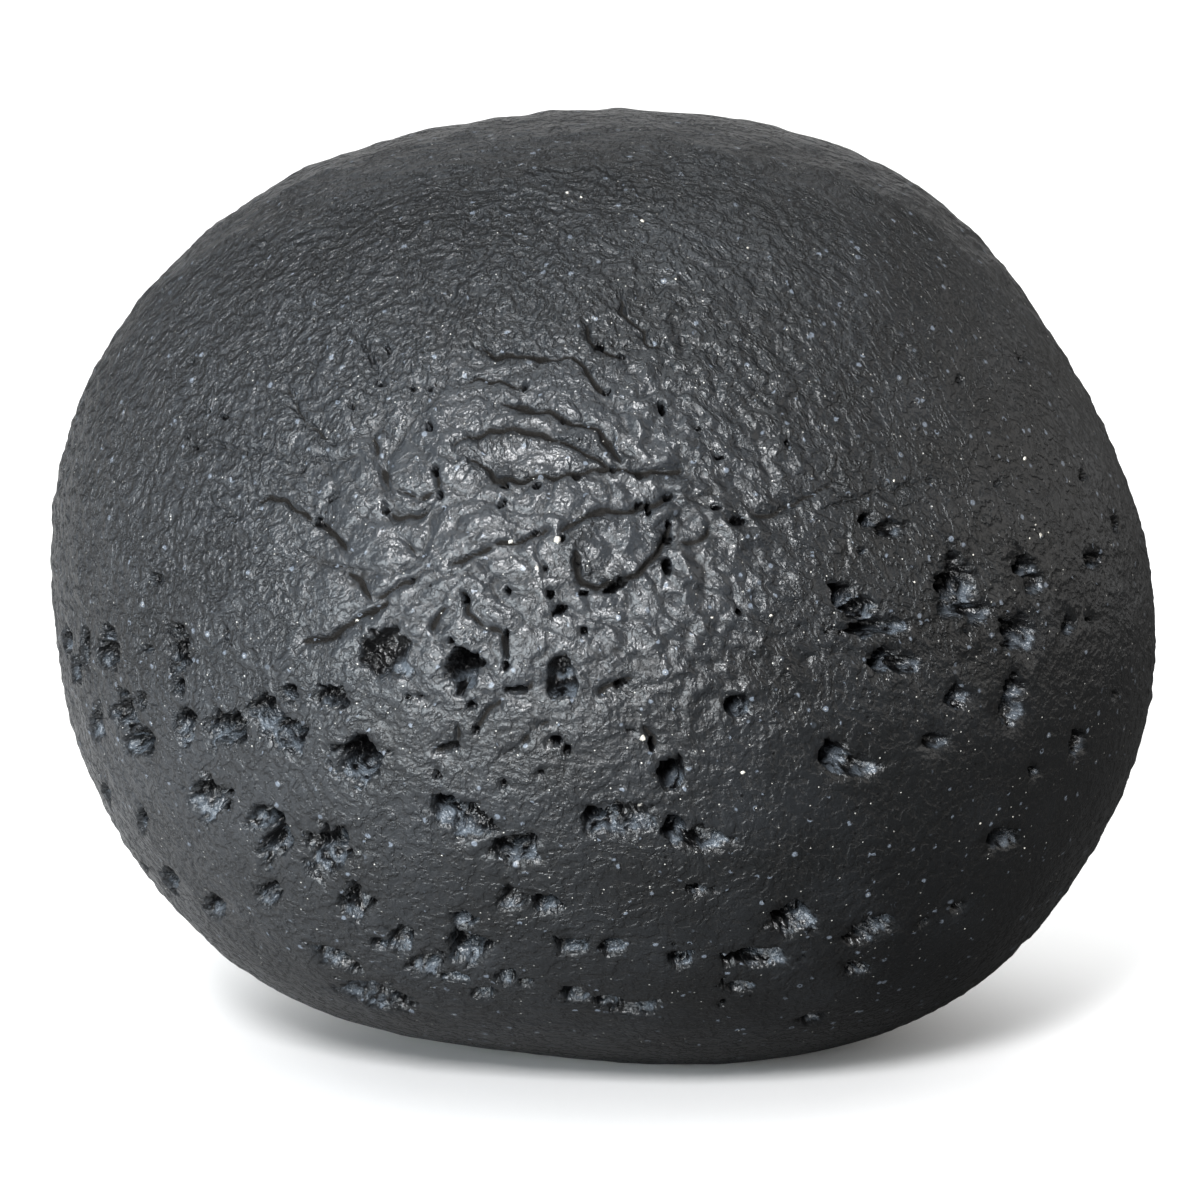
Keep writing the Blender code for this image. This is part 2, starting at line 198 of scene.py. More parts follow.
def noise(points, seed):
    """Smooth values from about -1 to 1, a wave or so to each unit of length.

    Each of the eight corners gives its slope times the offset to it, weighted by
    6t^5 - 15t^4 + 10t^3 along each axis.
    """
    slopes = unit(np.random.default_rng(seed).normal(size=(NOISE_SLOPES, 3)))
    cell = np.floor(points).astype(np.int64)
    inside = points - cell
    fade = inside**3 * (inside * (inside * 6 - 15) + 10)
    total = np.zeros(len(points))
    for corner in itertools.product((0, 1), repeat=3):
        mixed = (cell + corner) @ NOISE_MIXERS
        slope = slopes[(mixed ^ (mixed >> 9)) % NOISE_SLOPES]
        weight = np.where(corner, fade, 1 - fade).prod(axis=1)
        total += weight * ((inside - corner) * slope).sum(axis=1)
    return NOISE_GAIN * total


def noise_where(mask, points, seed):
    """Noise at the points where the mask is above nought, and nought elsewhere."""
    values = np.zeros(len(points))
    wanted = mask > 0.01
    values[wanted] = noise(points[wanted], seed)
    return values


# %% [markdown]
# ## Pits
#
# The pits are what is left of bubbles or of softer grains that weathered out. Each has a
# sharp ragged rim, a steep dark wall on its upper side, and a rough broken wall across from
# it that catches the light. They could be cut with Booleans, but a few hundred cutters are
# slow, and every rim would be as smooth as a drilled hole. Here each pit lowers the skin by a
# lopsided cup, and noise makes its rim ragged.
#
# The pits on the front stand where the viewer sees them: right, up, width, height, turn in
# degrees, and depth.

# %% Pits on the front
LEFT_RIM_PITS = (
    (-87.0, -6.5, 1.4, 3.9, 0, 1.5), (-85.6, -11.1, 2.0, 4.3, 0, 1.5),
    (-80.5, -5.2, 2.0, 2.6, 0, 1.6), (-80.5, -9.0, 3.3, 4.9, 0, 1.2),
    (-82.3, -20.0, 2.0, 5.6, 0, 1.5), (-80.7, -31.6, 1.4, 3.3, 0, 1.2),
    (-74.8, -36.0, 1.4, 3.6, 0, 1.4), (-70.3, -45.8, 2.9, 4.3, 0, 1.3),
    (-84.1, -7.4, 1.6, 5.9, 0, 0.8), (-78.5, -15.2, 1.3, 1.3, 0, 0.8),
    (-74.4, -43.8, 1.0, 2.3, 0, 0.8), (-74.1, -7.9, 1.6, 1.0, 0, 0.6),
    (-70.2, -4.9, 1.6, 1.6, 0, 0.9), (-72.8, 3.6, 1.6, 1.6, 0, 0.9), (-74.8, -16.4, 1.6, 3.3, 0, 0.6),
)
LEFT_PITS = (
    (-69.0, -9.0, 2.6, 5.6, 0, 1.5), (-61.2, -5.6, 1.6, 2.3, 0, 1.6),
    (-69.0, -14.1, 2.0, 2.3, 0, 1.6), (-77.7, -18.8, 3.9, 4.9, 0, 1.6),
    (-75.7, -23.7, 4.9, 3.3, 0, 1.6), (-67.9, -20.4, 3.3, 5.9, 0, 2.0),
    (-61.4, -21.3, 5.6, 4.9, 0, 2.2), (-54.8, -18.3, 4.3, 5.6, 0, 2.0),
    (-50.7, -15.1, 2.3, 2.6, 0, 1.4), (-50.9, -22.1, 4.9, 5.2, 0, 2.2),
    (-44.2, -16.0, 4.6, 3.6, 0, 1.4), (-64.3, -32.7, 4.9, 6.2, 0, 2.2),
)
LOW_LEFT_PITS = (
    (-55.3, -35.7, 4.3, 3.9, 0, 1.8), (-52.4, -38.9, 3.9, 4.3, 0, 2.0),
    (-54.5, -40.9, 2.6, 4.6, 0, 1.6), (-44.2, -40.9, 5.9, 5.6, 0, 2.4),
    (-47.1, -44.3, 4.3, 1.3, -50, 1.0), (-54.3, -48.3, 3.3, 3.9, 0, 1.5),
    (-39.3, -26.5, 6.5, 6.5, 0, 3.0), (-40.1, -49.9, 4.3, 4.9, 0, 1.8),
    (-62.8, -50.4, 2.6, 3.6, 0, 1.3), (-44.5, -40.6, 2.0, 2.0, 0, 3.2),
)
BOTTOM_PITS = (
    (-43.4, -58.6, 7.5, 2.6, -25, 1.5), (-36.0, -56.4, 2.9, 2.3, 0, 1.2),
    (-36.8, -64.6, 9.8, 3.9, -15, 1.8), (-32.7, -55.6, 4.3, 3.3, 0, 1.4),
    (-28.6, -59.7, 5.9, 2.6, 0, 1.4), (-22.4, -52.4, 3.9, 2.3, 0, 1.3),
    (-21.8, -57.3, 6.2, 4.9, 0, 2.2), (-15.5, -61.8, 3.3, 2.3, 0, 1.2),
    (-18.8, -64.3, 4.3, 2.0, 0, 1.1), (-4.6, -56.8, 4.9, 2.3, 0, 1.4),
    (-4.1, -64.8, 4.9, 2.3, 0, 1.3), (2.0, -56.8, 4.3, 2.3, 0, 1.3), (6.5, -66.7, 6.5, 2.3, 0, 1.3),
    (13.1, -58.9, 3.9, 2.9, 0, 1.5), (22.9, -63.3, 4.9, 2.0, 0, 1.2),
    (25.7, -58.7, 10.8, 2.9, 0, 1.8), (32.2, -52.0, 5.6, 4.9, 0, 2.2),
    (42.2, -60.2, 4.3, 2.3, 0, 1.2), (44.5, -53.7, 8.2, 2.9, 20, 1.5),
    (-9.0, -49.9, 4.3, 2.9, 0, 1.5), (-23.7, -61.8, 4.9, 1.6, 0, 1.1),
    (-12.1, -62.7, 2.9, 1.3, 0, 0.8), (1.3, -65.9, 3.3, 2.0, 0, 1.0), (15.9, -47.4, 3.9, 1.3, 0, 1.0),
    (34.7, -68.7, 3.9, 2.0, 0, 1.0), (-13.9, -49.1, 4.9, 3.3, 0, 0.7),
    (53.2, -52.7, 2.3, 0.8, 30, 0.5), (20.0, -66.3, 1.0, 1.6, -40, 0.6),
)
MIDDLE_PITS = (
    (-25.0, -34.0, 4.3, 3.3, 0, 2.2), (-22.1, -36.0, 8.2, 4.3, -20, 1.4),
    (-13.9, -40.9, 7.2, 4.3, 0, 1.8), (-0.5, -36.0, 4.6, 3.9, 0, 2.0), (4.1, -36.0, 9.2, 4.6, 0, 1.2),
    (12.3, -37.6, 3.9, 3.9, 0, 2.4), (16.9, -39.3, 6.5, 3.9, 0, 1.2), (11.8, -29.1, 3.9, 4.3, 0, 2.0),
    (38.4, -25.7, 4.9, 4.3, 0, 3.0), (42.5, -27.5, 5.6, 2.9, 0, 1.2),
)
RIGHT_PITS = (
    (39.6, 0.7, 3.9, 3.9, 0, 3.5), (42.9, -1.3, 4.3, 3.6, 0, 1.6), (44.8, -4.6, 10.5, 2.3, 5, 2.0),
    (46.3, -10.1, 3.9, 3.6, 0, 3.0), (50.2, -10.6, 4.6, 2.9, 0, 1.3), (43.8, 13.1, 2.6, 2.3, 0, 1.8),
    (58.1, 1.6, 5.6, 8.2, 0, 2.4), (62.2, -2.0, 3.9, 3.3, 0, 1.4), (70.0, 5.4, 3.3, 2.9, 0, 1.6),
    (68.7, -5.4, 5.6, 4.3, 0, 2.0), (58.4, -15.9, 3.6, 3.3, 0, 1.6), (67.9, -14.7, 3.6, 3.3, 0, 1.4),
    (67.4, -17.5, 3.9, 5.9, 0, 1.6), (78.2, -23.7, 2.6, 3.6, 0, 1.3), (65.9, -39.3, 4.9, 2.9, 0, 1.3),
    (47.4, 11.8, 4.3, 2.6, 0, 0.8), (71.2, 2.8, 3.3, 3.9, 0, 0.8), (76.9, -4.4, 2.3, 2.6, 0, 1.0),
    (55.3, -23.2, 4.3, 2.3, 0, 0.7), (71.2, -28.1, 2.0, 2.0, 0, 1.0),
    (58.9, -50.2, 2.3, 1.0, 35, 0.8), (43.2, 8.0, 1.3, 0.8, 20, 0.6), (65.1, 19.1, 1.5, 0.7, 30, 0.5),
    (79.0, 20.1, 1.5, 1.5, 0, 0.7), (84.7, 11.9, 1.6, 2.3, 0, 0.8), (81.0, 6.5, 3.3, 2.3, 0, 0.8),
    (80.5, -3.3, 1.5, 1.0, 0, 0.7), (84.3, -15.5, 1.3, 1.3, 0, 0.7), (60.9, -1.1, 3.3, 1.3, 10, 1.3),
    (58.9, 36.0, 1.3, 1.3, 0, 0.6), (69.2, 39.6, 1.3, 1.3, 0, 0.6),
)
CENTRE_PITS = (
    (-22.4, -11.1, 4.6, 5.6, 0, 2.5), (-34.7, -8.5, 6.5, 7.2, 60, 1.2),
    (-6.5, -11.1, 3.3, 3.9, 0, 1.6), (-6.1, -13.9, 5.6, 3.6, 0, 1.6), (22.6, -17.2, 3.9, 3.3, 0, 1.5),
)
FRONT_PITS = (
    LEFT_RIM_PITS + LEFT_PITS + LOW_LEFT_PITS + BOTTOM_PITS + MIDDLE_PITS + RIGHT_PITS + CENTRE_PITS
)
print(len(FRONT_PITS), "pits on the front")

# %% [markdown]
# Between the folds there are much smaller holes and slits, under 2 mm wide, that give the
# middle of the front its sharp dark dots. They are listed in the same way.

# %% Small holes between the folds
UPPER_HOLES = (
    (-64.3, 31.1, 1.0, 1.0, 0, 0.7), (-61.4, 29.9, 1.5, 0.8, 0, 0.5), (-67.4, 26.7, 1.0, 1.0, 0, 0.6),
    (-66.3, 25.2, 1.3, 1.3, 0, 0.9), (-66.6, 38.9, 0.8, 0.8, 0, 0.4), (-58.1, 24.0, 1.5, 0.8, 0, 0.5),
    (-48.9, 21.3, 1.1, 1.1, 0, 0.9), (-43.7, 16.9, 2.6, 1.0, 42, 1.1),
    (-46.5, 12.8, 1.5, 1.8, 0, 0.9), (-40.4, 31.7, 1.0, 1.1, 0, 0.7), (-34.8, 40.9, 1.0, 1.3, 0, 0.6),
    (-36.2, 35.5, 1.1, 1.1, 0, 0.8), (-28.0, 28.3, 1.0, 1.5, 0, 1.0), (-26.7, 20.9, 1.1, 1.8, 0, 1.1),
    (-26.2, 17.2, 1.3, 1.5, 0, 1.1), (-35.0, 15.2, 0.8, 2.3, 0, 1.0), (-30.6, 34.7, 1.0, 1.0, 0, 0.6),
    (-27.8, 34.5, 1.1, 1.0, 0, 0.6), (-12.3, 34.8, 1.0, 1.8, -30, 0.9),
    (-6.1, 29.4, 1.1, 1.1, 0, 0.9), (1.1, 34.2, 1.6, 1.3, 0, 1.1), (0.0, 41.6, 1.5, 1.3, 0, 0.8),
    (3.6, 39.8, 1.1, 1.1, 0, 1.0), (16.0, 28.1, 1.1, 1.1, 0, 0.9), (10.1, 31.1, 1.3, 2.1, 0, 0.9),
    (19.6, 23.4, 1.8, 0.8, 0, 0.7), (30.6, 25.4, 1.3, 1.3, 0, 0.9),
)
CENTRE_HOLES = (
    (-15.7, 18.8, 1.5, 1.0, 0, 0.9), (-10.3, 18.8, 1.6, 1.0, 15, 1.1), (-4.1, 20.3, 1.3, 1.1, 0, 1.0),
    (2.1, 21.3, 1.8, 1.3, 0, 0.8), (6.5, 20.4, 1.8, 1.1, 0, 0.8), (-16.2, 15.7, 2.1, 1.0, 35, 1.0),
    (-10.5, 11.1, 1.6, 0.8, 15, 0.9), (-6.1, 10.1, 1.0, 1.5, 0, 1.0), (-9.0, 5.2, 1.1, 1.1, 0, 0.9),
    (7.9, 15.2, 1.0, 2.1, 0, 1.3), (6.4, 15.4, 2.0, 2.0, 0, 0.6), (11.1, 16.9, 1.5, 1.0, 20, 0.9),
    (11.3, 12.6, 1.1, 1.6, 0, 1.2), (11.1, 10.1, 1.3, 1.5, 0, 0.9), (11.0, 5.7, 1.8, 2.5, 0, 1.1),
    (-3.6, 5.9, 1.1, 1.1, 0, 0.9), (-2.8, 1.1, 1.6, 1.0, 0, 1.0), (2.5, 2.3, 4.6, 1.3, 30, 1.2),
    (-15.1, 1.5, 1.0, 1.6, 20, 1.0), (-8.3, 0.8, 1.3, 1.3, 0, 0.8), (-6.5, -1.6, 2.9, 1.0, 30, 1.0),
    (-21.9, 0.0, 1.3, 1.8, 0, 1.3), (-30.9, 3.1, 1.0, 1.0, 0, 0.6), (18.8, 15.1, 1.5, 1.1, 0, 0.9),
    (22.6, 13.1, 2.1, 1.5, 0, 0.8), (22.7, -2.0, 1.1, 1.1, 0, 0.7), (-2.6, -5.1, 1.1, 1.1, 0, 0.7),
)
LOWER_HOLES = (
    (-22.9, -14.4, 1.8, 2.6, 0, 0.9), (-24.4, -6.7, 1.1, 1.5, 0, 0.9),
    (-15.4, -7.0, 1.0, 4.4, 0, 1.0), (-15.5, -10.8, 1.1, 1.5, 0, 0.8),
    (-13.6, -14.9, 3.8, 1.1, 0, 1.3), (-20.9, -17.2, 1.5, 1.0, 0, 0.8),
    (-31.4, -15.9, 1.0, 1.0, 0, 0.6), (-29.4, -15.9, 1.0, 0.8, 0, 0.6),
    (-20.3, -21.4, 1.1, 1.5, 0, 0.8), (-25.0, -24.2, 3.8, 1.1, 10, 1.0),
    (-7.0, -23.2, 2.1, 1.5, 0, 1.3), (-5.4, -24.5, 1.5, 1.8, 0, 1.1), (3.3, -13.7, 2.5, 1.1, 25, 1.1),
    (8.5, -23.7, 1.1, 2.1, 0, 1.1), (5.1, -21.4, 1.8, 0.8, 0, 0.8), (-26.7, -28.6, 1.1, 1.5, 0, 0.8),
    (-15.9, -30.3, 1.0, 1.1, 0, 0.6), (-9.7, -28.3, 1.3, 1.0, 0, 0.8),
)
SMALL_HOLES = UPPER_HOLES + CENTRE_HOLES + LOWER_HOLES
print(len(SMALL_HOLES), "small holes")

# %% [markdown]
# Only the front can be copied from a picture of it. The sides and the back get pits of the
# same kind, scattered by a seeded draw with a gap between them, so they come out alike each
# time. One function then says how far all the pits sink the skin at a point, and where the
# walls are that catch the light, because the material needs those too: it paints light on them
# as a lighter blue grey, and gives them a coarser grain.

# %% Pits elsewhere, and what all of them do to the skin
OTHER_PITS = 105
OTHER_PIT_SEED = 5
OTHER_PIT_GAP = 7.5
OTHER_PIT_WIDTHS = (2.6, 8.5)
MOSTLY_NARROW = 1.8
OTHER_PIT_HEIGHTS = (0.55, 1.0)
OTHER_PIT_DEPTH = 0.42
OTHER_PITS_BEHIND = -0.12
OTHER_PITS_ABOVE = -0.8
FEWER_PITS_ABOVE = 0.1
HIGH_PITS_KEPT = 0.4

PIT_WIDER = 1.15
PIT_DEEPER = 3.0
PIT_LOPSIDED = 0.55
HOLE_DEEPER = 1.5
PIT_RAGGED_SIZES = (2.6, 1.1)
PIT_RAGGED = (0.40, 0.25)
LIT_SIDE_TURN = 0.6
LIT_SIDE_TURN_WIDTH = 40.0
LIT_SIDE_TURN_RANGE = (-0.6, 1.0)
WALL_GAIN = 1.7
WALL_START = 0.40
WALL_OVER_RIM = 1.1


def front_pits(listed, wider=1.0):
    """Pits as (centre, width's axis, height's axis, half width, half height, depth)."""
    centres = points_seen_at([pit[:2] for pit in listed])
    pits = []
    for centre, (_, _, width, height, turn, depth) in zip(centres, listed):
        angle = math.radians(turn)
        wide = from_front(math.cos(angle), math.sin(angle), 0.0)
        tall = from_front(-math.sin(angle), math.cos(angle), 0.0)
        pits.append((centre, wide, tall, wider * width / 2, wider * height / 2, depth))
    return pits


def other_pits():
    """Seeded pits on the sides that the front doesn't show, more of them low than high."""
    draw = np.random.default_rng(OTHER_PIT_SEED)
    pits = []
    while len(pits) < OTHER_PITS:
        direction = unit(draw.normal(size=3))
        _, _, out = on_leaning_plane(direction[None])
        keep = draw.uniform() < (1.0 if direction[2] < FEWER_PITS_ABOVE else HIGH_PITS_KEPT)
        if out[0] > OTHER_PITS_BEHIND or direction[2] < OTHER_PITS_ABOVE or not keep:
            continue
        centre = direction * form_radius(direction[None])[0]
        if any(np.linalg.norm(centre - pit[0]) < OTHER_PIT_GAP for pit in pits):
            continue
        least, most = OTHER_PIT_WIDTHS
        width = least + (most - least) * draw.uniform() ** MOSTLY_NARROW
        height = width * draw.uniform(*OTHER_PIT_HEIGHTS)
        wide = unit(np.cross((0.0, 0.0, 1.0), direction))
        tall = np.cross(direction, wide)
        pits.append((centre, wide, tall, width / 2, height / 2, OTHER_PIT_DEPTH * height))
    return pits


def sunk_by_pits(points, pits):
    """Depth times (1 - share^3), where share is 0 in the pit's middle and 1 on its sharp rim.

    Two noises make the rim ragged. The depth is less by a part on the side that the light
    falls on, and more by the same part across from it, where the wall is steep. That lit side
    is below, and turns to the right towards the stone's right. The deepest pit wins.
    Returns the depths, and where the broken lit walls are.
    """
    ragged = np.ones(len(points))
    for layer, (size, amount) in enumerate(zip(PIT_RAGGED_SIZES, PIT_RAGGED)):
        ragged += amount * noise(points / size, OTHER_PIT_SEED + layer)
    sunk = np.zeros(len(points))
    wall = np.zeros(len(points))
    for centre, wide, tall, half_width, half_height, depth in pits:
        offset = points - centre
        near = np.flatnonzero((offset**2).sum(axis=1) < (2 * max(half_width, half_height)) ** 2)
        offset = offset[near]
        beside, above = offset @ wide / half_width, offset @ tall / half_height
        share = np.hypot(beside, above) * ragged[near]
        turn = np.clip(LIT_SIDE_TURN + centre[0] / LIT_SIDE_TURN_WIDTH, *LIT_SIDE_TURN_RANGE)
        lit_side = np.clip((turn * beside - above) / math.hypot(turn, 1), -1, 1)
        deep = PIT_DEEPER * depth * (1 - PIT_LOPSIDED * lit_side)
        sunk[near] = np.maximum(sunk[near], deep * np.clip(1 - share**3, 0, 1))
        broken = np.clip(WALL_GAIN * lit_side - WALL_START, 0, 1) * (share < WALL_OVER_RIM)
        wall[near] = np.maximum(wall[near], broken)
    return sunk, wall


PITS = front_pits(FRONT_PITS, PIT_WIDER) + other_pits()
HOLES = front_pits([(*hole[:5], HOLE_DEEPER * hole[5]) for hole in SMALL_HOLES])
print(len(PITS), "pits in all")

# %% [markdown]
# ## Folds
#
# In the middle of the front the skin lies in thin folds, like dough pushed together. Each is a
# dark line with a soft shoulder on both sides. Drawing them in a texture would leave them flat,
# and a sculpted mesh couldn't be written down. So each fold is a chain of places that its
# bottom runs through, with a depth, and the skin sinks by how near a point is to the chain. A
# little noise lets the chain wander between its places.

# %% Folds in the middle and on the left
MIDDLE_FOLDS = (
    (1.5, ((-49.1, -7.4), (-44.2, -6.2), (-40.9, -4.1), (-35.2, -0.2))),
    (0.8, ((-36.8, 0.3), (-33.5, 1.6), (-31.1, 3.3), (-27.2, 5.1))),
    (1.0, ((-24.5, 6.1), (-20.0, 7.4), (-16.4, 9.0), (-13.1, 9.8), (-9.0, 11.3))),
    (1.1, ((-6.1, 11.5), (-4.1, 13.1), (-1.6, 14.2), (2.0, 14.7), (6.5, 15.1), (11.1, 16.9))),
    (1.5, ((-4.4, 8.2), (-3.6, 5.4), (-2.8, 2.9), (-0.3, 1.8), (3.3, 2.8))),
    (1.5, ((3.3, 2.8), (6.1, 4.6), (9.0, 7.4), (11.1, 10.3), (11.3, 12.6))),
    (0.9, ((-23.7, 25.4), (-21.3, 26.7), (-16.4, 27.8), (-11.5, 27.6), (-6.5, 26.2))),
    (0.9, ((-6.5, 26.2), (-2.5, 23.7), (1.6, 21.6))),
    (1.1, ((-21.3, 22.9), (-17.2, 20.1), (-12.3, 19.5), (-6.5, 20.1), (-1.6, 21.1))),
    (1.1, ((-1.6, 21.1), (2.0, 21.4), (7.4, 20.3), (13.6, 21.6))),
    (1.0, ((-15.5, 32.2), (-12.3, 31.4), (-9.0, 30.4), (-5.7, 29.3), (-0.8, 27.8))),
    (1.0, ((-0.8, 27.8), (1.6, 25.8), (3.3, 23.2))),
    (0.7, ((-22.6, 36.5), (-17.2, 35.8), (-13.1, 35.0), (-11.5, 35.7))),
    (0.9, ((-20.0, 41.7), (-18.0, 40.6), (-11.5, 39.6), (-4.1, 39.6))),
    (0.9, ((-4.1, 39.6), (-2.5, 37.6), (-0.5, 35.3), (1.1, 34.2))),
    (0.8, ((-2.1, 45.0), (-1.3, 42.9), (0.3, 41.4), (3.6, 39.9))),
    (0.6, ((2.8, 50.7), (3.6, 48.3), (5.7, 45.0), (8.5, 42.4), (11.1, 40.9))),
    (0.9, ((-22.4, 1.3), (-21.6, 0.0), (-21.6, -2.0), (-19.6, -3.6), (-16.4, -5.2))),
    (0.9, ((-16.4, -5.2), (-15.2, -9.0))),
    (1.2, ((-27.5, -4.9), (-25.4, -1.6))),
)
LEFT_FOLDS = (
    (0.6, ((-52.2, 36.8), (-50.4, 32.4), (-48.6, 29.8), (-46.1, 27.3), (-43.4, 25.5))),
    (0.5, ((-64.9, 25.8), (-58.1, 24.7), (-51.9, 23.4), (-49.1, 21.3))),
    (0.5, ((-48.3, 22.6), (-44.2, 23.4), (-40.9, 23.6), (-37.6, 22.9))),
    (0.8, ((-37.6, 26.7), (-36.3, 24.5), (-35.2, 22.1), (-35.0, 18.5))),
    (1.2, ((-56.3, 16.7), (-54.0, 17.2), (-51.5, 16.2), (-49.1, 14.4), (-46.8, 13.3))),
    (1.2, ((-46.8, 13.3), (-43.4, 10.5), (-41.7, 8.3))),
    (0.5, ((-64.9, 16.4), (-61.2, 14.4), (-58.7, 13.7))),
    (0.6, ((-49.1, 7.9), (-45.0, 6.4), (-41.7, 5.6), (-36.8, 4.1))),
    (1.0, ((-41.4, 4.3), (-39.3, 2.8), (-37.8, 0.3))),
    (0.7, ((-35.0, 13.9), (-32.7, 13.4), (-30.3, 13.6), (-27.8, 15.1))),
    (0.8, ((-33.0, 18.0), (-28.6, 16.9), (-26.7, 17.2), (-26.7, 20.9))),
    (0.6, ((-33.0, 10.1), (-31.1, 8.5), (-28.3, 7.2))),
    (0.5, ((-38.9, 43.2), (-38.0, 40.1), (-36.2, 35.5))),
)
RIGHT_AND_LOW_FOLDS = (
    (0.7, ((24.9, 13.7), (29.4, 14.4), (33.2, 16.5), (36.8, 18.5), (39.3, 19.3))),
    (0.5, ((37.6, 15.2), (40.9, 15.9), (45.8, 18.0), (51.0, 19.0), (54.8, 19.6))),
    (0.9, ((13.1, 9.8), (15.9, 9.7), (17.5, 10.3), (18.2, 11.6))),
    (1.0, ((-15.5, -15.1), (-11.5, -14.6), (-11.0, -13.1))),
    (1.0, ((-27.0, -24.9), (-24.5, -24.7), (-23.2, -23.2), (-23.4, -20.6))),
    (0.8, ((-20.4, -20.9), (-18.3, -18.3), (-16.4, -16.4))),
    (0.9, ((-15.9, -25.5), (-12.8, -23.2), (-9.0, -20.0))),
    (1.1, ((-9.0, -23.7), (-6.9, -23.2), (-5.2, -24.5))),
    (1.0, ((0.0, -15.2), (2.5, -14.1), (4.4, -12.9))),
    (0.5, ((33.2, -10.1), (36.8, -9.0), (41.2, -8.5))),
    (0.4, ((40.9, 12.3), (40.6, 8.2), (39.3, 4.3))),
    (0.8, ((7.4, -20.9), (9.0, -22.6), (8.7, -24.5))),
    (0.4, ((58.1, -11.1), (61.4, -9.8), (63.0, -8.2))),
)
FRONT_FOLDS = MIDDLE_FOLDS + LEFT_FOLDS + RIGHT_AND_LOW_FOLDS

# %% [markdown]
# The back has folds too. A fold there starts at a seeded place and goes on in short steps,
# while its heading drifts a little at each step, as a crack or a crease does. Each fold is
# deepest in its middle and runs out towards its ends.

# %% Folds elsewhere, and what all of them do to the skin
OTHER_FOLDS = 16
OTHER_FOLD_SEED = 23
OTHER_FOLDS_BEHIND = 0.35
OTHER_FOLDS_WITHIN = 0.7
OTHER_FOLD_HEADINGS = (-0.6, 0.6)
OTHER_FOLD_STEPS = (4, 9)
OTHER_FOLD_STEP = 4.5
OTHER_FOLD_DEPTHS = (0.8, 1.4)
OTHER_FOLD_DRIFT = 0.25
FOLD_DEEPER = 1.8
FOLD_CREASE = 0.36
FOLD_SHOULDER = 1.5
FOLD_SHOULDER_SHARE = 0.30
FOLD_WANDER_SIZE = 3.0
FOLD_WANDER = 0.80
FOLD_END = 0.62
FOLD_TAPER = 2.5


def other_folds():
    """Seeded folds on the back, each a line over the form whose heading drifts as it goes."""
    draw = np.random.default_rng(OTHER_FOLD_SEED)
    folds = []
    while len(folds) < OTHER_FOLDS:
        direction = unit(draw.normal(size=3))
        if direction[1] < OTHER_FOLDS_BEHIND or abs(direction[2]) > OTHER_FOLDS_WITHIN:
            continue
        heading = draw.uniform(*OTHER_FOLD_HEADINGS)
        bend = draw.uniform(-OTHER_FOLD_DRIFT, OTHER_FOLD_DRIFT)
        route = []
        for _ in range(draw.integers(*OTHER_FOLD_STEPS)):
            radius = form_radius(direction[None])[0]
            route.append(direction * radius)
            level = unit(np.cross((0.0, 0.0, 1.0), direction))
            rise = np.cross(direction, level)
            step = level * math.cos(heading) + rise * math.sin(heading)
            direction = unit(direction + step * OTHER_FOLD_STEP / radius)
            heading += bend + draw.uniform(-OTHER_FOLD_DRIFT, OTHER_FOLD_DRIFT)
        folds.append((draw.uniform(*OTHER_FOLD_DEPTHS), np.array(route)))
    return folds


def sunk_by_folds(points, folds):
    """Depth times a narrow bell of the gap, plus a wide soft shoulder exp(-gap / width).

    The gap is the distance to the nearest stretch of the fold, after noise has moved the
    point a little. The depth fades towards the fold's ends. The deepest fold wins.
    """
    wander = noise(points / FOLD_WANDER_SIZE, OTHER_FOLD_SEED)
    turned = noise(points / FOLD_WANDER_SIZE, OTHER_FOLD_SEED + 1)
    moved = points + FOLD_WANDER * np.stack([wander, turned, turned], axis=-1)
    sunk = np.zeros(len(points))
    for depth, route in folds:
        lengths = np.linalg.norm(np.diff(route, axis=0), axis=1)
        runs = np.concatenate([[0.0], np.cumsum(lengths)]) / lengths.sum()
        for start, end, run, next_run in zip(route[:-1], route[1:], runs[:-1], runs[1:]):
            leg = end - start
            reach = np.linalg.norm(leg) / 2 + 4 * FOLD_SHOULDER
            near = np.flatnonzero(((moved - (start + end) / 2) ** 2).sum(axis=1) < reach**2)
            offset = moved[near] - start
            share = np.clip(offset @ leg / (leg @ leg), 0, 1)
            gap = np.linalg.norm(offset - share[:, None] * leg, axis=1)
            crease = (1 - FOLD_SHOULDER_SHARE) * np.exp(-((gap / FOLD_CREASE) ** 2))
            shoulder = FOLD_SHOULDER_SHARE * np.exp(-gap / FOLD_SHOULDER)
            along = run + share * (next_run - run)
            taper = np.clip(FOLD_END + FOLD_TAPER * np.minimum(along, 1 - along), 0, 1)
            deep = FOLD_DEEPER * depth * taper
            sunk[near] = np.maximum(sunk[near], deep * (crease + shoulder))
    return sunk


FOLDS = [(depth, points_seen_at(places)) for depth, places in FRONT_FOLDS] + other_folds()
print(len(FOLDS), "folds in all")

# %% [markdown]
# ## Plates, wrinkles and pebbles
#
# Between the drawn folds the skin lies in shiny flat plates with narrow valleys round them.
# The root of a noise's distance from nought gives the valleys, as sharp creases where the
# noise is nought, and cutting it off above 1 gives the flat tops. It is used twice: for broad
# pillows, and for thinner wrinkles. The wrinkles lie along an arch, up from the left, level in
# the middle and down to the right, so their noise is read in coordinates that are bent along
# that arch. Right of the middle there are pebbly bumps of 1 to 2 mm, and everywhere the skin
# is a little uneven, more so at the upper left.

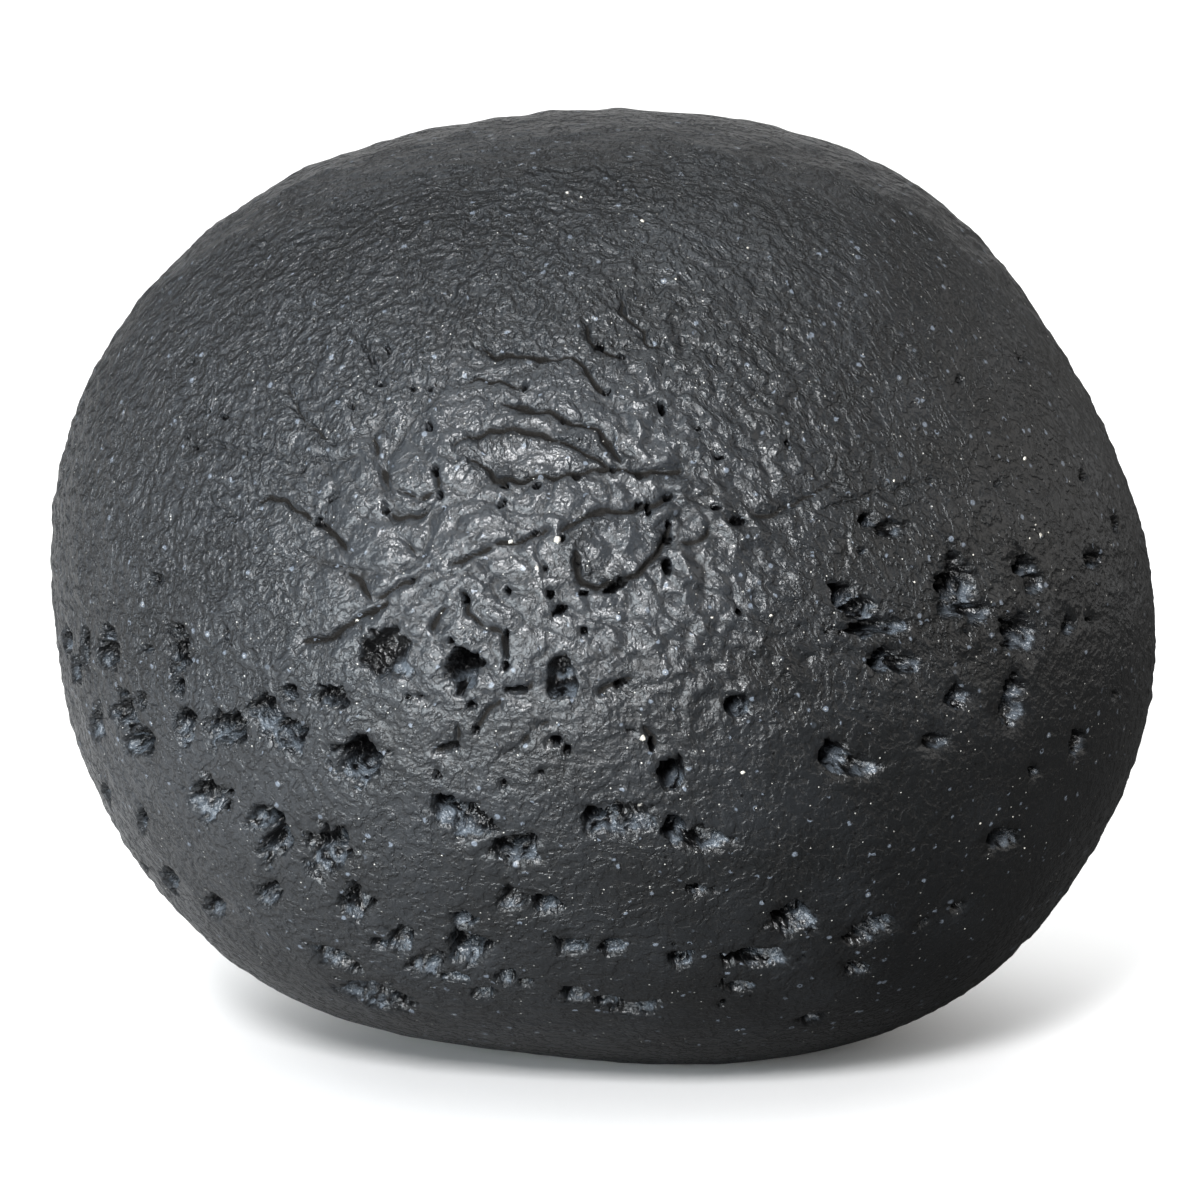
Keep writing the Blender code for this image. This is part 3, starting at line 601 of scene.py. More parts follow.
# %% The finer relief
TOP_SHARPNESS = 6.0
LEVEL_AT = 0.6
PILLOW_HEIGHT = 0.60
PILLOW_SIZE = (14.0, 12.0, 8.0)
PILLOW_BEND = 3.0
PILLOW_SEED = 4
FOLDED_FIELD = (-16.0, 10.0)
FOLDED_FIELD_HALF_SIZE = (46.0, 33.0)
FOLDED_PATCH_SIZE = 52.0
FOLDED_PATCH_GAIN = 2.5
FOLDED_PATCH_SEED = 9
SMOOTH_PLATES = ((2.8, 8.5, 7.5, 5.5), (-10.0, 23.5, 13.0, 3.6))

ARCH_TOP = -10.0
ARCH_SOFTNESS = 25.0
ARCH_FALL_LEFT = 0.20
ARCH_FALL_RIGHT = 0.40
WRINKLE_SIZE = (9.0, 9.0, 4.2)
WRINKLE_HEIGHT = 0.52
WRINKLE_BEND = 2.2
WRINKLE_BEND_SIZE = 4.5
WRINKLE_SEED = 31

PEBBLED_FIELD = (17.0, 19.0)
PEBBLED_FIELD_HALF_SIZE = (21.0, 46.0)
PEBBLE_SIZE = (2.9, 2.9, 2.3)
PEBBLE_HEIGHT = 0.80
SMALL_PEBBLES_FINER = 1.7
SMALL_PEBBLES_LOWER = 0.5
PEBBLE_SEED = 47

UNEVEN_SIZES = (9.0, 4.5)
UNEVEN_HEIGHTS = (0.40, 0.26)
UNEVEN_SEED = 61
RUGGED = 1.5
RUGGED_PER_MM = (-0.013, 0.004)
RUGGED_RANGE = (0.5, 2.6)
LOW_SMOOTHNESS = 0.66
LOW_FROM = 2.0
LOW_WIDTH = 22.0
RUGGED_UNEVEN_MOST = 1.1

RIM_LUMP_SIZE = 2.0
RIM_LUMP_HEIGHT = 0.38
RIM_DEPTH = 42.0
RIM_FROM = 40.0
RIM_FADE = 30.0
RIM_SEED = 71


def oval_field(right, up, out, middle, half_size):
    """exp(-away^4) on the front, where away is 1 on the oval's edge."""
    away = ((right - middle[0]) / half_size[0]) ** 2 + ((up - middle[1]) / half_size[1]) ** 2
    return np.where(out > 0, np.exp(-(away**2)), 0)


def smooth_plates(right, up, out):
    """The larger of the oval fields of the two smooth plates."""
    plate = np.zeros(len(right))
    for across, above, half_width, half_height in SMOOTH_PLATES:
        oval = oval_field(right, up, out, (across, above), (half_width, half_height))
        plate = np.maximum(plate, oval)
    return plate


def folded_patches(points, out):
    """Where the back is folded: a wide noise, cut off below nought, that grows to the rear."""
    wave = noise_where(out < 0, points / FOLDED_PATCH_SIZE, FOLDED_PATCH_SEED)
    return np.clip(FOLDED_PATCH_GAIN * wave, 0, 1) * np.clip(-out / BACK_REACH * 2, 0, 1)


def flat_tops(values):
    """The root of sharpness times a noise's distance from nought, and level above 1."""
    return np.sqrt(np.clip(TOP_SHARPNESS * np.abs(values), 0, 1))


def pillows(points, folded):
    """Flat tops over a noise that is bent by another: 1 on top and 0 in the valleys."""
    bend = noise(points / (2 * PILLOW_SIZE[0]), PILLOW_SEED + 1) * PILLOW_BEND
    return flat_tops(noise_where(folded, (points + bend[:, None]) / PILLOW_SIZE, PILLOW_SEED))


def along_arch(points):
    """The points raised by fall * (root of (beside^2 + softness^2) - softness).

    beside is how far a point is from the arch's top. That lifts both ends of the arch, so in
    the new coordinates the arch lies level.
    """
    beside = points[:, 0] - ARCH_TOP
    fall = np.where(beside < 0, ARCH_FALL_LEFT, ARCH_FALL_RIGHT)
    arched = points.copy()
    arched[:, 2] += fall * (np.hypot(beside, ARCH_SOFTNESS) - ARCH_SOFTNESS)
    return arched


def wrinkles(points, folded):
    """Like the pillows, but thin and long, and along the arch."""
    bent = along_arch(points)
    for axis in (0, 2):
        wave = noise_where(folded, points / WRINKLE_BEND_SIZE, WRINKLE_SEED + 1 + axis)
        bent[:, axis] += WRINKLE_BEND * wave
    return flat_tops(noise_where(folded, bent / WRINKLE_SIZE, WRINKLE_SEED))


def pebbles(points, pebbled):
    """Round bumps along the arch, of two sizes."""
    bent = along_arch(points)
    large = noise_where(pebbled, bent / PEBBLE_SIZE, PEBBLE_SEED)
    small = noise_where(pebbled, SMALL_PEBBLES_FINER * bent / PEBBLE_SIZE, PEBBLE_SEED + 1)
    return PEBBLE_HEIGHT * (large + SMALL_PEBBLES_LOWER * small) * pebbled


def ruggedness(right, up):
    """How rough the skin is: a plane that rises to the left and the top, and less low down."""
    plane = np.clip(RUGGED + RUGGED_PER_MM[0] * right + RUGGED_PER_MM[1] * up, *RUGGED_RANGE)
    return plane * (1 - LOW_SMOOTHNESS * np.clip((-up - LOW_FROM) / LOW_WIDTH, 0, 1))


def unevenness(points):
    """A few sizes of noise added up, over the whole stone."""
    total = np.zeros(len(points))
    for layer, (size, height) in enumerate(zip(UNEVEN_SIZES, UNEVEN_HEIGHTS)):
        total += height * noise(points / size, UNEVEN_SEED + layer)
    return total


# %% [markdown]
# ## The skin as one function
#
# Everything now comes together: a direction goes in, and the point of the skin comes out, with
# the marks that the material needs later. The marks say how much of a pit, a crease or a
# folded field there is at that point. The function is called three times: for the fine grid,
# for the points that are left of it, and for the places of the pale grains.

# %% The skin
PIT_ROUGH_SIZE = 1.0
PIT_ROUGH = 0.25
PIT_MARK_DEPTH = 1.2
HOLE_MARK_DEPTH = 0.8
CREASE_MARK_FROM = 0.45
CREASE_MARK_DEPTH = 0.7
VALLEY_NARROWNESS = 2.6


def skin(directions):
    """Form + direction * (pillows + wrinkles + pebbles + bumps - the deepest of pits and folds).

    Returns the points, and a dictionary of marks. They run from 0 to 1, except for the
    ruggedness.
    """
    form = directions * form_radius(directions)[:, None]
    right, up, out = seen_from_front(form)
    folded_front = oval_field(right, up, out, FOLDED_FIELD, FOLDED_FIELD_HALF_SIZE)
    plate = smooth_plates(right, up, out)
    folded = np.maximum(folded_front, folded_patches(form, out)) * (1 - plate)
    pebbled = oval_field(right, up, out, PEBBLED_FIELD, PEBBLED_FIELD_HALF_SIZE)
    rim = np.clip(1 - np.abs(out) / RIM_DEPTH, 0, 1)
    rim *= np.clip((np.abs(right) - RIM_FROM) / RIM_FADE, 0, 1)
    pit, wall = sunk_by_pits(form, PITS)
    rough = 1 + PIT_ROUGH * noise_where(pit, form / PIT_ROUGH_SIZE, OTHER_PIT_SEED + 2)
    hole, _ = sunk_by_pits(form, HOLES)
    fold = sunk_by_folds(form, FOLDS)
    pillow, wrinkle = pillows(form, folded), wrinkles(form, folded)
    fine = PILLOW_HEIGHT * (pillow - LEVEL_AT) + WRINKLE_HEIGHT * (wrinkle - LEVEL_AT)
    fine *= folded
    fine += pebbles(form, pebbled)
    rugged = ruggedness(right, up)
    relief = fine + np.minimum(rugged, RUGGED_UNEVEN_MOST) * unevenness(form)
    relief += RIM_LUMP_HEIGHT * rim * noise_where(rim, form / RIM_LUMP_SIZE, RIM_SEED)
    sunk = np.maximum(np.maximum(pit * rough, hole), fold)
    points = form + directions * (relief - sunk)[:, None] + MIDDLE
    points[:, 2] = np.maximum(points[:, 2], 0.0)
    valley = np.clip(1 - VALLEY_NARROWNESS * np.minimum(pillow, wrinkle), 0, 1) * folded
    marks = {
        "pit": np.clip(pit / PIT_MARK_DEPTH, 0, 1),
        "wall": wall,
        "hole": np.clip(hole / HOLE_MARK_DEPTH, 0, 1),
        "crease": np.clip((fold - CREASE_MARK_FROM) / CREASE_MARK_DEPTH, 0, 1),
        "valley": valley,
        "folded": np.maximum(folded, plate),
        "pebbled": pebbled,
        "rugged": rugged,
    }
    return points, marks


# %% [markdown]
# ## From the function to a mesh
#
# The two parameters are the angle round the upright axis and the angle down from the top. The
# columns stand closer together on the front than on the back, where nothing as fine is shown.
# Each pole is a single point with a fan of triangles, so the surface is closed.

# %% A grid of directions
GRID_ROWS = 640
GRID_COLUMNS = 1040
FRONT_CROWDING = 0.6


def grid_of_directions(rows, columns):
    """Directions on rows of the angle from the top and columns of the angle round.

    The angle round is s - crowding * sin(s) from the front, which crowds the columns there.
    """
    down = np.arange(1, rows) / rows * math.pi
    step = np.arange(columns) / columns * math.tau - math.pi
    round_angle = step - FRONT_CROWDING * np.sin(step)
    across = np.outer(np.sin(down), np.sin(round_angle))
    back = -np.outer(np.sin(down), np.cos(round_angle))
    height = np.repeat(np.cos(down)[:, None], columns, axis=1)
    body = np.stack([across, back, height], axis=-1).reshape(-1, 3)
    return np.vstack([body, [(0.0, 0.0, 1.0), (0.0, 0.0, -1.0)]])


def grid_faces(rows, columns):
    """Two triangles for each cell, and a fan of triangles at each pole, all facing outwards."""
    number = np.arange((rows - 1) * columns).reshape(rows - 1, columns)
    beside = np.roll(number, -1, axis=1)
    cells = np.stack([number[:-1], number[1:], beside[1:], beside[:-1]], axis=-1).reshape(-1, 4)
    top = np.full(columns, number.size)
    bottom = top + 1
    fans = np.concatenate([
        np.stack([top, number[0], beside[0]], axis=-1),
        np.stack([bottom, beside[-1], number[-1]], axis=-1),
    ])
    return np.concatenate([cells[:, [0, 1, 2]], cells[:, [0, 2, 3]], fans])


def mesh_from_triangles(name, points, triangles):
    """A mesh from whole arrays of points, in millimetres, and triangles."""
    mesh = bpy.data.meshes.new(name)
    mesh.vertices.add(len(points))
    mesh.vertices.foreach_set("co", (points * MM).ravel())
    mesh.loops.add(triangles.size)
    mesh.loops.foreach_set("vertex_index", triangles.ravel())
    mesh.polygons.add(len(triangles))
    mesh.polygons.foreach_set("loop_start", np.arange(0, triangles.size, 3))
    mesh.update(calc_edges=True)
    return mesh


def add_object(name, mesh):
    """An object for the mesh, at the origin, in the scene."""
    thing = bpy.data.objects.new(name, mesh)
    bpy.context.scene.collection.objects.link(thing)
    return thing


# %% [markdown]
# The grid is far finer than a mesh should be, because the narrow creases need small steps and
# the smooth parts don't. The Decimate modifier sorts that out: it joins points where the skin
# is nearly flat and keeps them where it bends. It only touches the points of a vertex group,
# so the points in the creases and valleys are left out of the group and all stay.

# %% The stone's mesh
MOST_TRIANGLES = 196_000
NARROW_KEPT = 0.5

grid_points, grid_marks = skin(grid_of_directions(GRID_ROWS, GRID_COLUMNS))
grid_mesh = mesh_from_triangles("fine grid", grid_points, grid_faces(GRID_ROWS, GRID_COLUMNS))
print("fine grid:", len(grid_mesh.polygons), "triangles")

stone = add_object("dark_stone_skin", grid_mesh)
may_go = stone.vertex_groups.new(name="may go")
narrow = np.maximum(grid_marks["crease"], grid_marks["valley"]) > NARROW_KEPT
may_go.add(np.flatnonzero(~narrow).tolist(), 1.0, "REPLACE")
print("kept as they are:", round(100 * float(narrow.mean()), 1), "% of the points")
thin = stone.modifiers.new("thin where smooth", "DECIMATE")
thin.vertex_group = may_go.name
thin.ratio = MOST_TRIANGLES / len(grid_mesh.polygons)
graph = bpy.context.evaluated_depsgraph_get()
skin_mesh = bpy.data.meshes.new_from_object(stone.evaluated_get(graph))
stone.modifiers.remove(thin)
stone.vertex_groups.clear()
stone.data = skin_mesh
bpy.data.meshes.remove(grid_mesh)
skin_mesh.name = "dark_stone_skin"
skin_mesh.shade_smooth()
print("stone's skin:", len(skin_mesh.polygons), "triangles")

# %% [markdown]
# The marks are stored on the mesh as attributes. The material can read them by name, and they
# travel with the mesh. Three more are worked out here: how deep the leathery grain is, how
# light the skin is, and the coordinates along the arch in which the grain is drawn. How light
# the skin is holds painted light: besides a random tone, it is lighter to the left and to the
# top, where the light falls, and in the folded fields, where the shine is.

# %% Marks on the mesh
TONE_MIDDLE = 0.45
# The next two are painted light: the tone rises to the left and the top, where the light falls, and
# in the folded fields, where the shine is.
PAINTED_LIGHT_PER_MM = (-0.006, 0.003)
PAINTED_SHINE_IN_FOLDS = 0.45
TONE_SIZE = 12.0
TONE_VARIES = 0.35
FLOW_BEND_SIZE = 6.0
FLOW_BEND = 1.0
LEATHER_SIZE = 16.0
LEATHER_VARIES = 0.3
LEATHER_DEPTH = 2.0
LEATHER_LESS_IN_FOLDS = 0.88
LEATHER_LESS_IN_PEBBLES = 0.40
MARK_SEED = 97


def bent_by_noise(places, amount, seed):
    """The places, each axis moved by its own noise times the amount."""
    moves = [noise(places, seed + axis) for axis in range(3)]
    return places + amount * np.stack(moves, axis=-1)


def store(mesh, name, values):
    """Numbers or places as an attribute with one value for each point of the mesh."""
    values = np.asarray(values, np.float32)
    kind, field = ("FLOAT", "value") if values.ndim == 1 else ("FLOAT_VECTOR", "vector")
    attribute = mesh.attributes.new(name, kind, "POINT")
    attribute.data.foreach_set(field, values.ravel())


vertices = np.empty(3 * len(skin_mesh.vertices))
skin_mesh.vertices.foreach_get("co", vertices)
vertices = vertices.reshape(-1, 3) / MM - MIDDLE
_, marks = skin(unit(vertices))
right, up, _ = seen_from_front(vertices)
flow = bent_by_noise(along_arch(vertices) / FLOW_BEND_SIZE, FLOW_BEND / FLOW_BEND_SIZE, MARK_SEED)
leather = 1 + LEATHER_VARIES * noise(vertices / LEATHER_SIZE, MARK_SEED + 3)
leather *= LEATHER_DEPTH * marks["rugged"]
leather *= 1 - LEATHER_LESS_IN_FOLDS * marks["folded"]
leather *= 1 - LEATHER_LESS_IN_PEBBLES * marks["pebbled"]
for name in ("pit", "wall", "hole", "crease", "valley"):
    store(skin_mesh, name, marks[name])
store(skin_mesh, "leather", leather)
# Painted light: lighter to the left, to the top and in the folded fields. Only the noise is a random
# tone of the skin.
tone_and_painted_light = TONE_MIDDLE + PAINTED_LIGHT_PER_MM[0] * right + PAINTED_LIGHT_PER_MM[1] * up
tone_and_painted_light += PAINTED_SHINE_IN_FOLDS * marks["folded"]
tone_and_painted_light += TONE_VARIES * noise(vertices / TONE_SIZE, MARK_SEED + 4)
store(skin_mesh, "tone_and_painted_light", np.clip(tone_and_painted_light, 0, 1))
store(skin_mesh, "flow", flow * FLOW_BEND_SIZE)
for name, values in marks.items():
    print(name, "on", round(100 * float((values > 0.3).mean())), "% of the points")

# %% [markdown]
# ## The stone's finish
#
# The skin is nearly black with a satin shine. Under a soft light it shows a leathery grain,
# a millimetre or two wide, and a finer worm-like one. Both are made in the material: as a mesh
# they would need millions of triangles. A material is a tree of nodes, and a long tree is hard
# to read as code, so a small class has one short call for each kind of node.
#
# The pattern coordinates are the object's own, multiplied so that one unit is a millimetre.

# %% Helpers for the stone's material
def new_material(name):
    """A material and its Principled shader."""
    material = bpy.data.materials.new(name)
    material.use_nodes = True
    return material, material.node_tree.nodes["Principled BSDF"]


class Finish:
    """Short calls that add one node each to a material and wire it up."""

    def __init__(self, material):
        self.nodes = material.node_tree.nodes
        self.links = material.node_tree.links

    def wire(self, source, socket):
        """Sets a socket to a number or colour, or links another node's output to it."""
        if isinstance(source, bpy.types.NodeSocket):
            self.links.new(source, socket)
        else:
            socket.default_value = source

    def millimetres(self):
        """Object coordinates, in millimetres."""
        place = self.nodes.new("ShaderNodeTexCoord")
        scale = self.nodes.new("ShaderNodeVectorMath")
        scale.operation = "SCALE"
        scale.inputs["Scale"].default_value = 1 / MM
        self.links.new(place.outputs["Object"], scale.inputs[0])
        return scale.outputs["Vector"]

    def mark(self, name):
        """One of the mesh's own marks."""
        node = self.nodes.new("ShaderNodeAttribute")
        node.attribute_name = name
        return node.outputs["Fac"]

    def arrow(self, name):
        """One of the mesh's own marks that is a place, not a number."""
        node = self.nodes.new("ShaderNodeAttribute")
        node.attribute_name = name
        return node.outputs["Vector"]

    def scattered(self, place, spacing, kinds):
        """One mask of round dots for each kind, in the cells of a Voronoi pattern.

        Every cell has a colour of its own. A kind names the channel to read, the distances
        at which its dot starts and ends to fade, as shares of the spacing, and the values of
        the channel from which and up to which the dot appears.
        """
        cells = self.nodes.new("ShaderNodeTexVoronoi")
        cells.inputs["Scale"].default_value = 1 / spacing
        self.links.new(place, cells.inputs["Vector"])
        split = self.nodes.new("ShaderNodeSeparateColor")
        self.links.new(cells.outputs["Color"], split.inputs["Color"])
        masks = []
        for channel, inner, outer, least, surely in kinds:
            dot = self.ramp(cells.outputs["Distance"], inner, outer, 1.0, 0.0)
            kept = self.ramp(split.outputs[channel], least, surely)
            masks.append(self.times(dot, kept))
        return masks

    def times(self, first, second):
        """One number times another."""
        return self.math("MULTIPLY", first, second)

    def noise(self, place, size, detail):
        """Noise from 0 to 1, with waves about as wide as size, and finer ones for the detail."""
        node = self.nodes.new("ShaderNodeTexNoise")
        node.inputs["Scale"].default_value = 1 / size
        node.inputs["Detail"].default_value = detail
        self.links.new(place, node.inputs["Vector"])
        return node.outputs["Fac"]

    def math(self, operation, first, second=0.0, third=0.0):
        """Any operation of the Math node, on up to three numbers."""
        node = self.nodes.new("ShaderNodeMath")
        node.operation = operation
        for socket, source in zip(node.inputs, (first, second, third)):
            self.wire(source, socket)
        return node.outputs["Value"]

    def ramp(self, value, start, end, low=0.0, high=1.0):
        """The value carried from start..end to low..high, and held there beyond."""
        node = self.nodes.new("ShaderNodeMapRange")
        for name, source in zip(("Value", "From Min", "From Max", "To Min", "To Max"),
                                (value, start, end, low, high)):
            self.wire(source, node.inputs[name])
        return node.outputs["Result"]

    def blend(self, amount, first, second):
        """One colour where the amount is 0 and the other where it is 1."""
        node = self.nodes.new("ShaderNodeMix")
        node.data_type = "RGBA"
        for name, source in (("Factor_Float", amount), ("A_Color", first), ("B_Color", second)):
            socket = next(one for one in node.inputs if one.identifier == name)
            self.wire(source, socket)
        return next(one for one in node.outputs if one.identifier == "Result_Color")


# %% [markdown]
# The skin's own material. The leathery grain is one noise, drawn along the folds. The mesh's
# marks say where the pits, walls, holes and creases are. A mark can only change from one point
# of the mesh to the next, so ramps make its soft edge sharper. Pale specks, black pricks and
# blue grey scars come from one pattern of scattered dots. The colour paints shade into the pits,
# holes, pricks and creases, and paints light on the lit walls of the pits.

# %% Dark satin stone
# The pit black and the crease brown are painted shade, the wall blue is painted light, and the two
# skin colours are mixed partly by painted light.
SKIN_BLACK = (0.007, 0.0075, 0.008, 1.0)
SKIN_GREY = (0.025, 0.028, 0.032, 1.0)
PIT_PAINTED_SHADE = (0.0015, 0.0015, 0.0018, 1.0)
WALL_PAINTED_LIGHT = (0.092, 0.108, 0.127, 1.0)
CREASE_PAINTED_SHADE = (0.004, 0.003, 0.002, 1.0)
SPECK_PALE = (0.48, 0.47, 0.44, 1.0)
SCAR_BLUE = (0.13, 0.15, 0.18, 1.0)
PIT_EDGE = (0.20, 0.70)
CREASE_EDGE = (0.25, 0.70)
HOLE_EDGE = (0.30, 0.70)
LEATHER_WIDTH = 1.8
LEATHER_DETAIL = 3.0
LEATHER_STEP = 0.11
LEATHER_LUMP = 0.60
STEP_BETWEEN = (0.465, 0.535)
STEP_FOOT = 0.46
STEP_FOOT_WIDTH = 0.035
# How dark the painted shade at the foot of each leather step is.
STEP_FOOT_SHADE = 0.5
GRAIN_WIDTH = 0.8
GRAIN_DETAIL = 1.0
GRAIN_HEIGHT = 0.17
WALL_GRAIN_HEIGHT = 0.30
DOT_SPACING = 1.2
DOT_KINDS = (
    ("Red", 0.078, 0.13, 0.68, 0.78),
    ("Green", 0.169, 0.247, 0.86, 0.90),
    ("Blue", 0.312, 0.468, 0.90, 0.92),
)
SCARS_BETWEEN = (0.52, 0.56)
WALLS_BETWEEN = (0.38, 0.55)
SATIN_ROUGHNESS = 0.31
CREASE_ROUGHNESS = 1.0

stone_skin, shader = new_material("dark satin stone")
finish = Finish(stone_skin)
place = finish.millimetres()
pit_mark = finish.ramp(finish.mark("pit"), *PIT_EDGE)
crease_mark = finish.ramp(finish.mark("crease"), *CREASE_EDGE)
hole_mark = finish.ramp(finish.mark("hole"), *HOLE_EDGE)

# Leather: one noise along the folds. The skin swells with the noise, and where the noise
# crosses its middle there is a small step, as if one thin fold lay over the next.
wave = finish.noise(finish.arrow("flow"), LEATHER_WIDTH, LEATHER_DETAIL)
step = finish.ramp(wave, *STEP_BETWEEN)
# The foot of each step: the colour below paints shade into it.
from_foot = finish.math("ABSOLUTE", finish.math("SUBTRACT", wave, STEP_FOOT))
foot_of_step = finish.ramp(from_foot, 0.0, STEP_FOOT_WIDTH, 1.0, 0.0)
leather_high = finish.math("MULTIPLY_ADD", step, LEATHER_STEP, finish.times(wave, LEATHER_LUMP))
leather_high = finish.times(leather_high, finish.mark("leather"))

# The worm-like grain is finer. It stands higher on the broken walls of the pits.
grain = finish.noise(place, GRAIN_WIDTH, GRAIN_DETAIL)
wall_mark = finish.times(finish.mark("wall"), pit_mark)
grain_height = finish.math("MULTIPLY_ADD", wall_mark, WALL_GRAIN_HEIGHT, GRAIN_HEIGHT)
grain_high = finish.times(grain, grain_height)

bump = finish.nodes.new("ShaderNodeBump")
bump.inputs["Distance"].default_value = MM
finish.wire(finish.math("ADD", leather_high, grain_high), bump.inputs["Height"])
finish.wire(bump.outputs["Normal"], shader.inputs["Normal"])

# Colour: two tones, mixed by random patches and by painted light to the upper left and in the
# folds; painted shade, dark brown, in every kind of crease; scattered scars and specks; and last
# the openings: pits, pricks and holes, painted near black as shade, with painted light on the
# lit walls of the pits.
# The black pricks are painted shade, dots that stand in for holes too small for the mesh.
specks, shade_pricks, scars = finish.scattered(place, DOT_SPACING, DOT_KINDS)
scars = finish.times(scars, finish.ramp(wave, *SCARS_BETWEEN))
# Painted shade: creases, valleys and the foot of each leather step get a dark brown colour, where
# shade falls in them. The same mask makes them rougher.
line = finish.math("MAXIMUM", crease_mark, finish.mark("valley"))
shaded_low_ground = finish.math("MAXIMUM", finish.times(foot_of_step, STEP_FOOT_SHADE), line)
# Painted shade: pits, pricks and holes get a near black colour where shade falls in them.
shaded_opening = finish.math("MAXIMUM", finish.math("MAXIMUM", pit_mark, shade_pricks), hole_mark)
# Painted light: the broken walls on the lit side of the pits get a lighter blue grey colour, where
# the light falls on them.
painted_wall_light = finish.times(wall_mark, finish.ramp(wave, *WALLS_BETWEEN))
pit_shade_and_light = finish.blend(painted_wall_light, PIT_PAINTED_SHADE, WALL_PAINTED_LIGHT)
# Black and grey mixed by the tone, which holds painted light and painted shine as well as random
# patches.
colour = finish.blend(finish.mark("tone_and_painted_light"), SKIN_BLACK, SKIN_GREY)
colour = finish.blend(shaded_low_ground, colour, CREASE_PAINTED_SHADE)
colour = finish.blend(scars, colour, SCAR_BLUE)
colour = finish.blend(specks, colour, SPECK_PALE)
# The openings go last: painted near-black shade, with painted light on the lit walls.
colour = finish.blend(shaded_opening, colour, pit_shade_and_light)
finish.wire(colour, shader.inputs["Base Color"])
roughness = finish.ramp(shaded_low_ground, 0.0, 1.0, SATIN_ROUGHNESS, CREASE_ROUGHNESS)
finish.wire(roughness, shader.inputs["Roughness"])
shader.inputs["Specular IOR Level"].default_value = 0.5
skin_mesh.materials.clear()
skin_mesh.materials.append(stone_skin)

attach(stone, "root")
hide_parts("stone")

# %% [markdown]
# ## Pale mineral grains
#
# A few white grains sit in the skin, mostly by the folds and pits. They are broken crystals
# with flat faces, so they aren't painted on: each is a small ball of twenty faces, stretched
# at random and sunk in the skin a little deeper than its waist. All of them are one mesh.

# %% Pale grains
FRONT_GRAINS = (
    (-6.9, 9.8, 1.8), (-14.7, 9.7, 1.3), (-10.3, 5.2, 1.3), (-40.4, -3.3, 1.3),
    (7.0, -22.6, 1.1), (23.4, -28.3, 1.0), (7.0, -34.7, 1.3), (7.0, 62.0, 1.0),
    (69.5, 23.2, 1.0), (72.1, 10.6, 1.1), (59.2, -49.9, 0.5), (59.7, -53.8, 0.5),
    (62.2, -36.6, 0.5), (67.6, -35.5, 0.5), (69.5, -40.6, 0.5), (48.1, 19.5, 0.7),
    (51.5, 2.9, 0.5), (-3.1, 66.1, 0.7), (71.2, 12.3, 0.5), (70.3, 10.1, 0.5),
    (73.3, 11.0, 0.5), (61.2, 7.4, 0.5), (27.8, -2.5, 0.8), (18.2, -2.9, 0.7),
    (12.4, 52.4, 0.7), (-5.4, 66.6, 0.7), (24.4, 57.9, 0.7), (57.4, 6.9, 0.5),
)
OTHER_GRAINS = 60
OTHER_GRAIN_SIZES = (0.5, 1.4)
OTHER_GRAINS_BEHIND = -0.05
OTHER_GRAINS_ABOVE = -0.75
GRAIN_SUNK = 0.12
CORNER_STRETCH = (0.55, 1.25)
SIDE_STRETCH = (0.6, 1.2)
GRAIN_SEED = 83


def twenty_faced_ball():
    """The twelve corners and twenty faces of a regular ball of triangles, of radius 1."""
    golden = (1 + math.sqrt(5)) / 2
    corners = []
    for first, second in itertools.product((-1, 1), (-golden, golden)):
        corners += [(0, first, second), (first, second, 0), (second, 0, first)]
    corners = unit(np.array(corners, float))
    side = np.linalg.norm(corners[:, None] - corners, axis=2)
    edge = side[side > 0.1].min() * 1.01
    faces = [
        trio for trio in itertools.combinations(range(12), 3)
        if all(side[one, two] < edge for one, two in itertools.combinations(trio, 2))
    ]
    faces = np.array(faces)
    inward = np.linalg.det(corners[faces]) < 0
    faces[inward] = faces[inward][:, ::-1]
    return corners, faces


def grains(directions, sizes, seed):
    """Balls with stretched corners, at the skin in the given directions."""
    draw = np.random.default_rng(seed)
    corners, faces = twenty_faced_ball()
    centres, _ = skin(directions)
    centres -= directions * (GRAIN_SUNK * sizes)[:, None]
    stretch = draw.uniform(*CORNER_STRETCH, (len(sizes), 12, 1))
    stretch = stretch * draw.uniform(*SIDE_STRETCH, (len(sizes), 1, 3))
    turns = unit(draw.normal(size=(len(sizes), 3, 3)))
    first = turns[:, 0]
    second = unit(np.cross(first, turns[:, 1]))
    third = np.cross(first, second)
    axes = np.stack([first, second, third], axis=1)
    shapes = (corners * stretch) @ axes * (sizes / 2)[:, None, None]
    points = (shapes + centres[:, None]).reshape(-1, 3)
    numbers = (faces + 12 * np.arange(len(sizes))[:, None, None]).reshape(-1, 3)
    return points, numbers


draw = np.random.default_rng(GRAIN_SEED)
seen = np.array(FRONT_GRAINS)
front_directions = unit(points_seen_at(seen[:, :2]))
other_directions = unit(draw.normal(size=(4 * OTHER_GRAINS, 3)))
hidden = on_leaning_plane(other_directions)[2] < OTHER_GRAINS_BEHIND
clear = other_directions[:, 2] > OTHER_GRAINS_ABOVE
other_directions = other_directions[hidden & clear][:OTHER_GRAINS]
other_sizes = draw.uniform(*OTHER_GRAIN_SIZES, len(other_directions))
grain_points, grain_faces = grains(
    np.vstack([front_directions, other_directions]),
    np.concatenate([seen[:, 2], other_sizes]),
    GRAIN_SEED,
)
grain_mesh = mesh_from_triangles("pale_grains", grain_points, grain_faces)
pale_grains = add_object("pale_grains", grain_mesh)
print(len(seen) + len(other_sizes), "pale grains,", len(grain_mesh.polygons), "triangles")

# %% [markdown]
# The grains are milky, not clear: a pale warm white with a low shine, mottled a little.

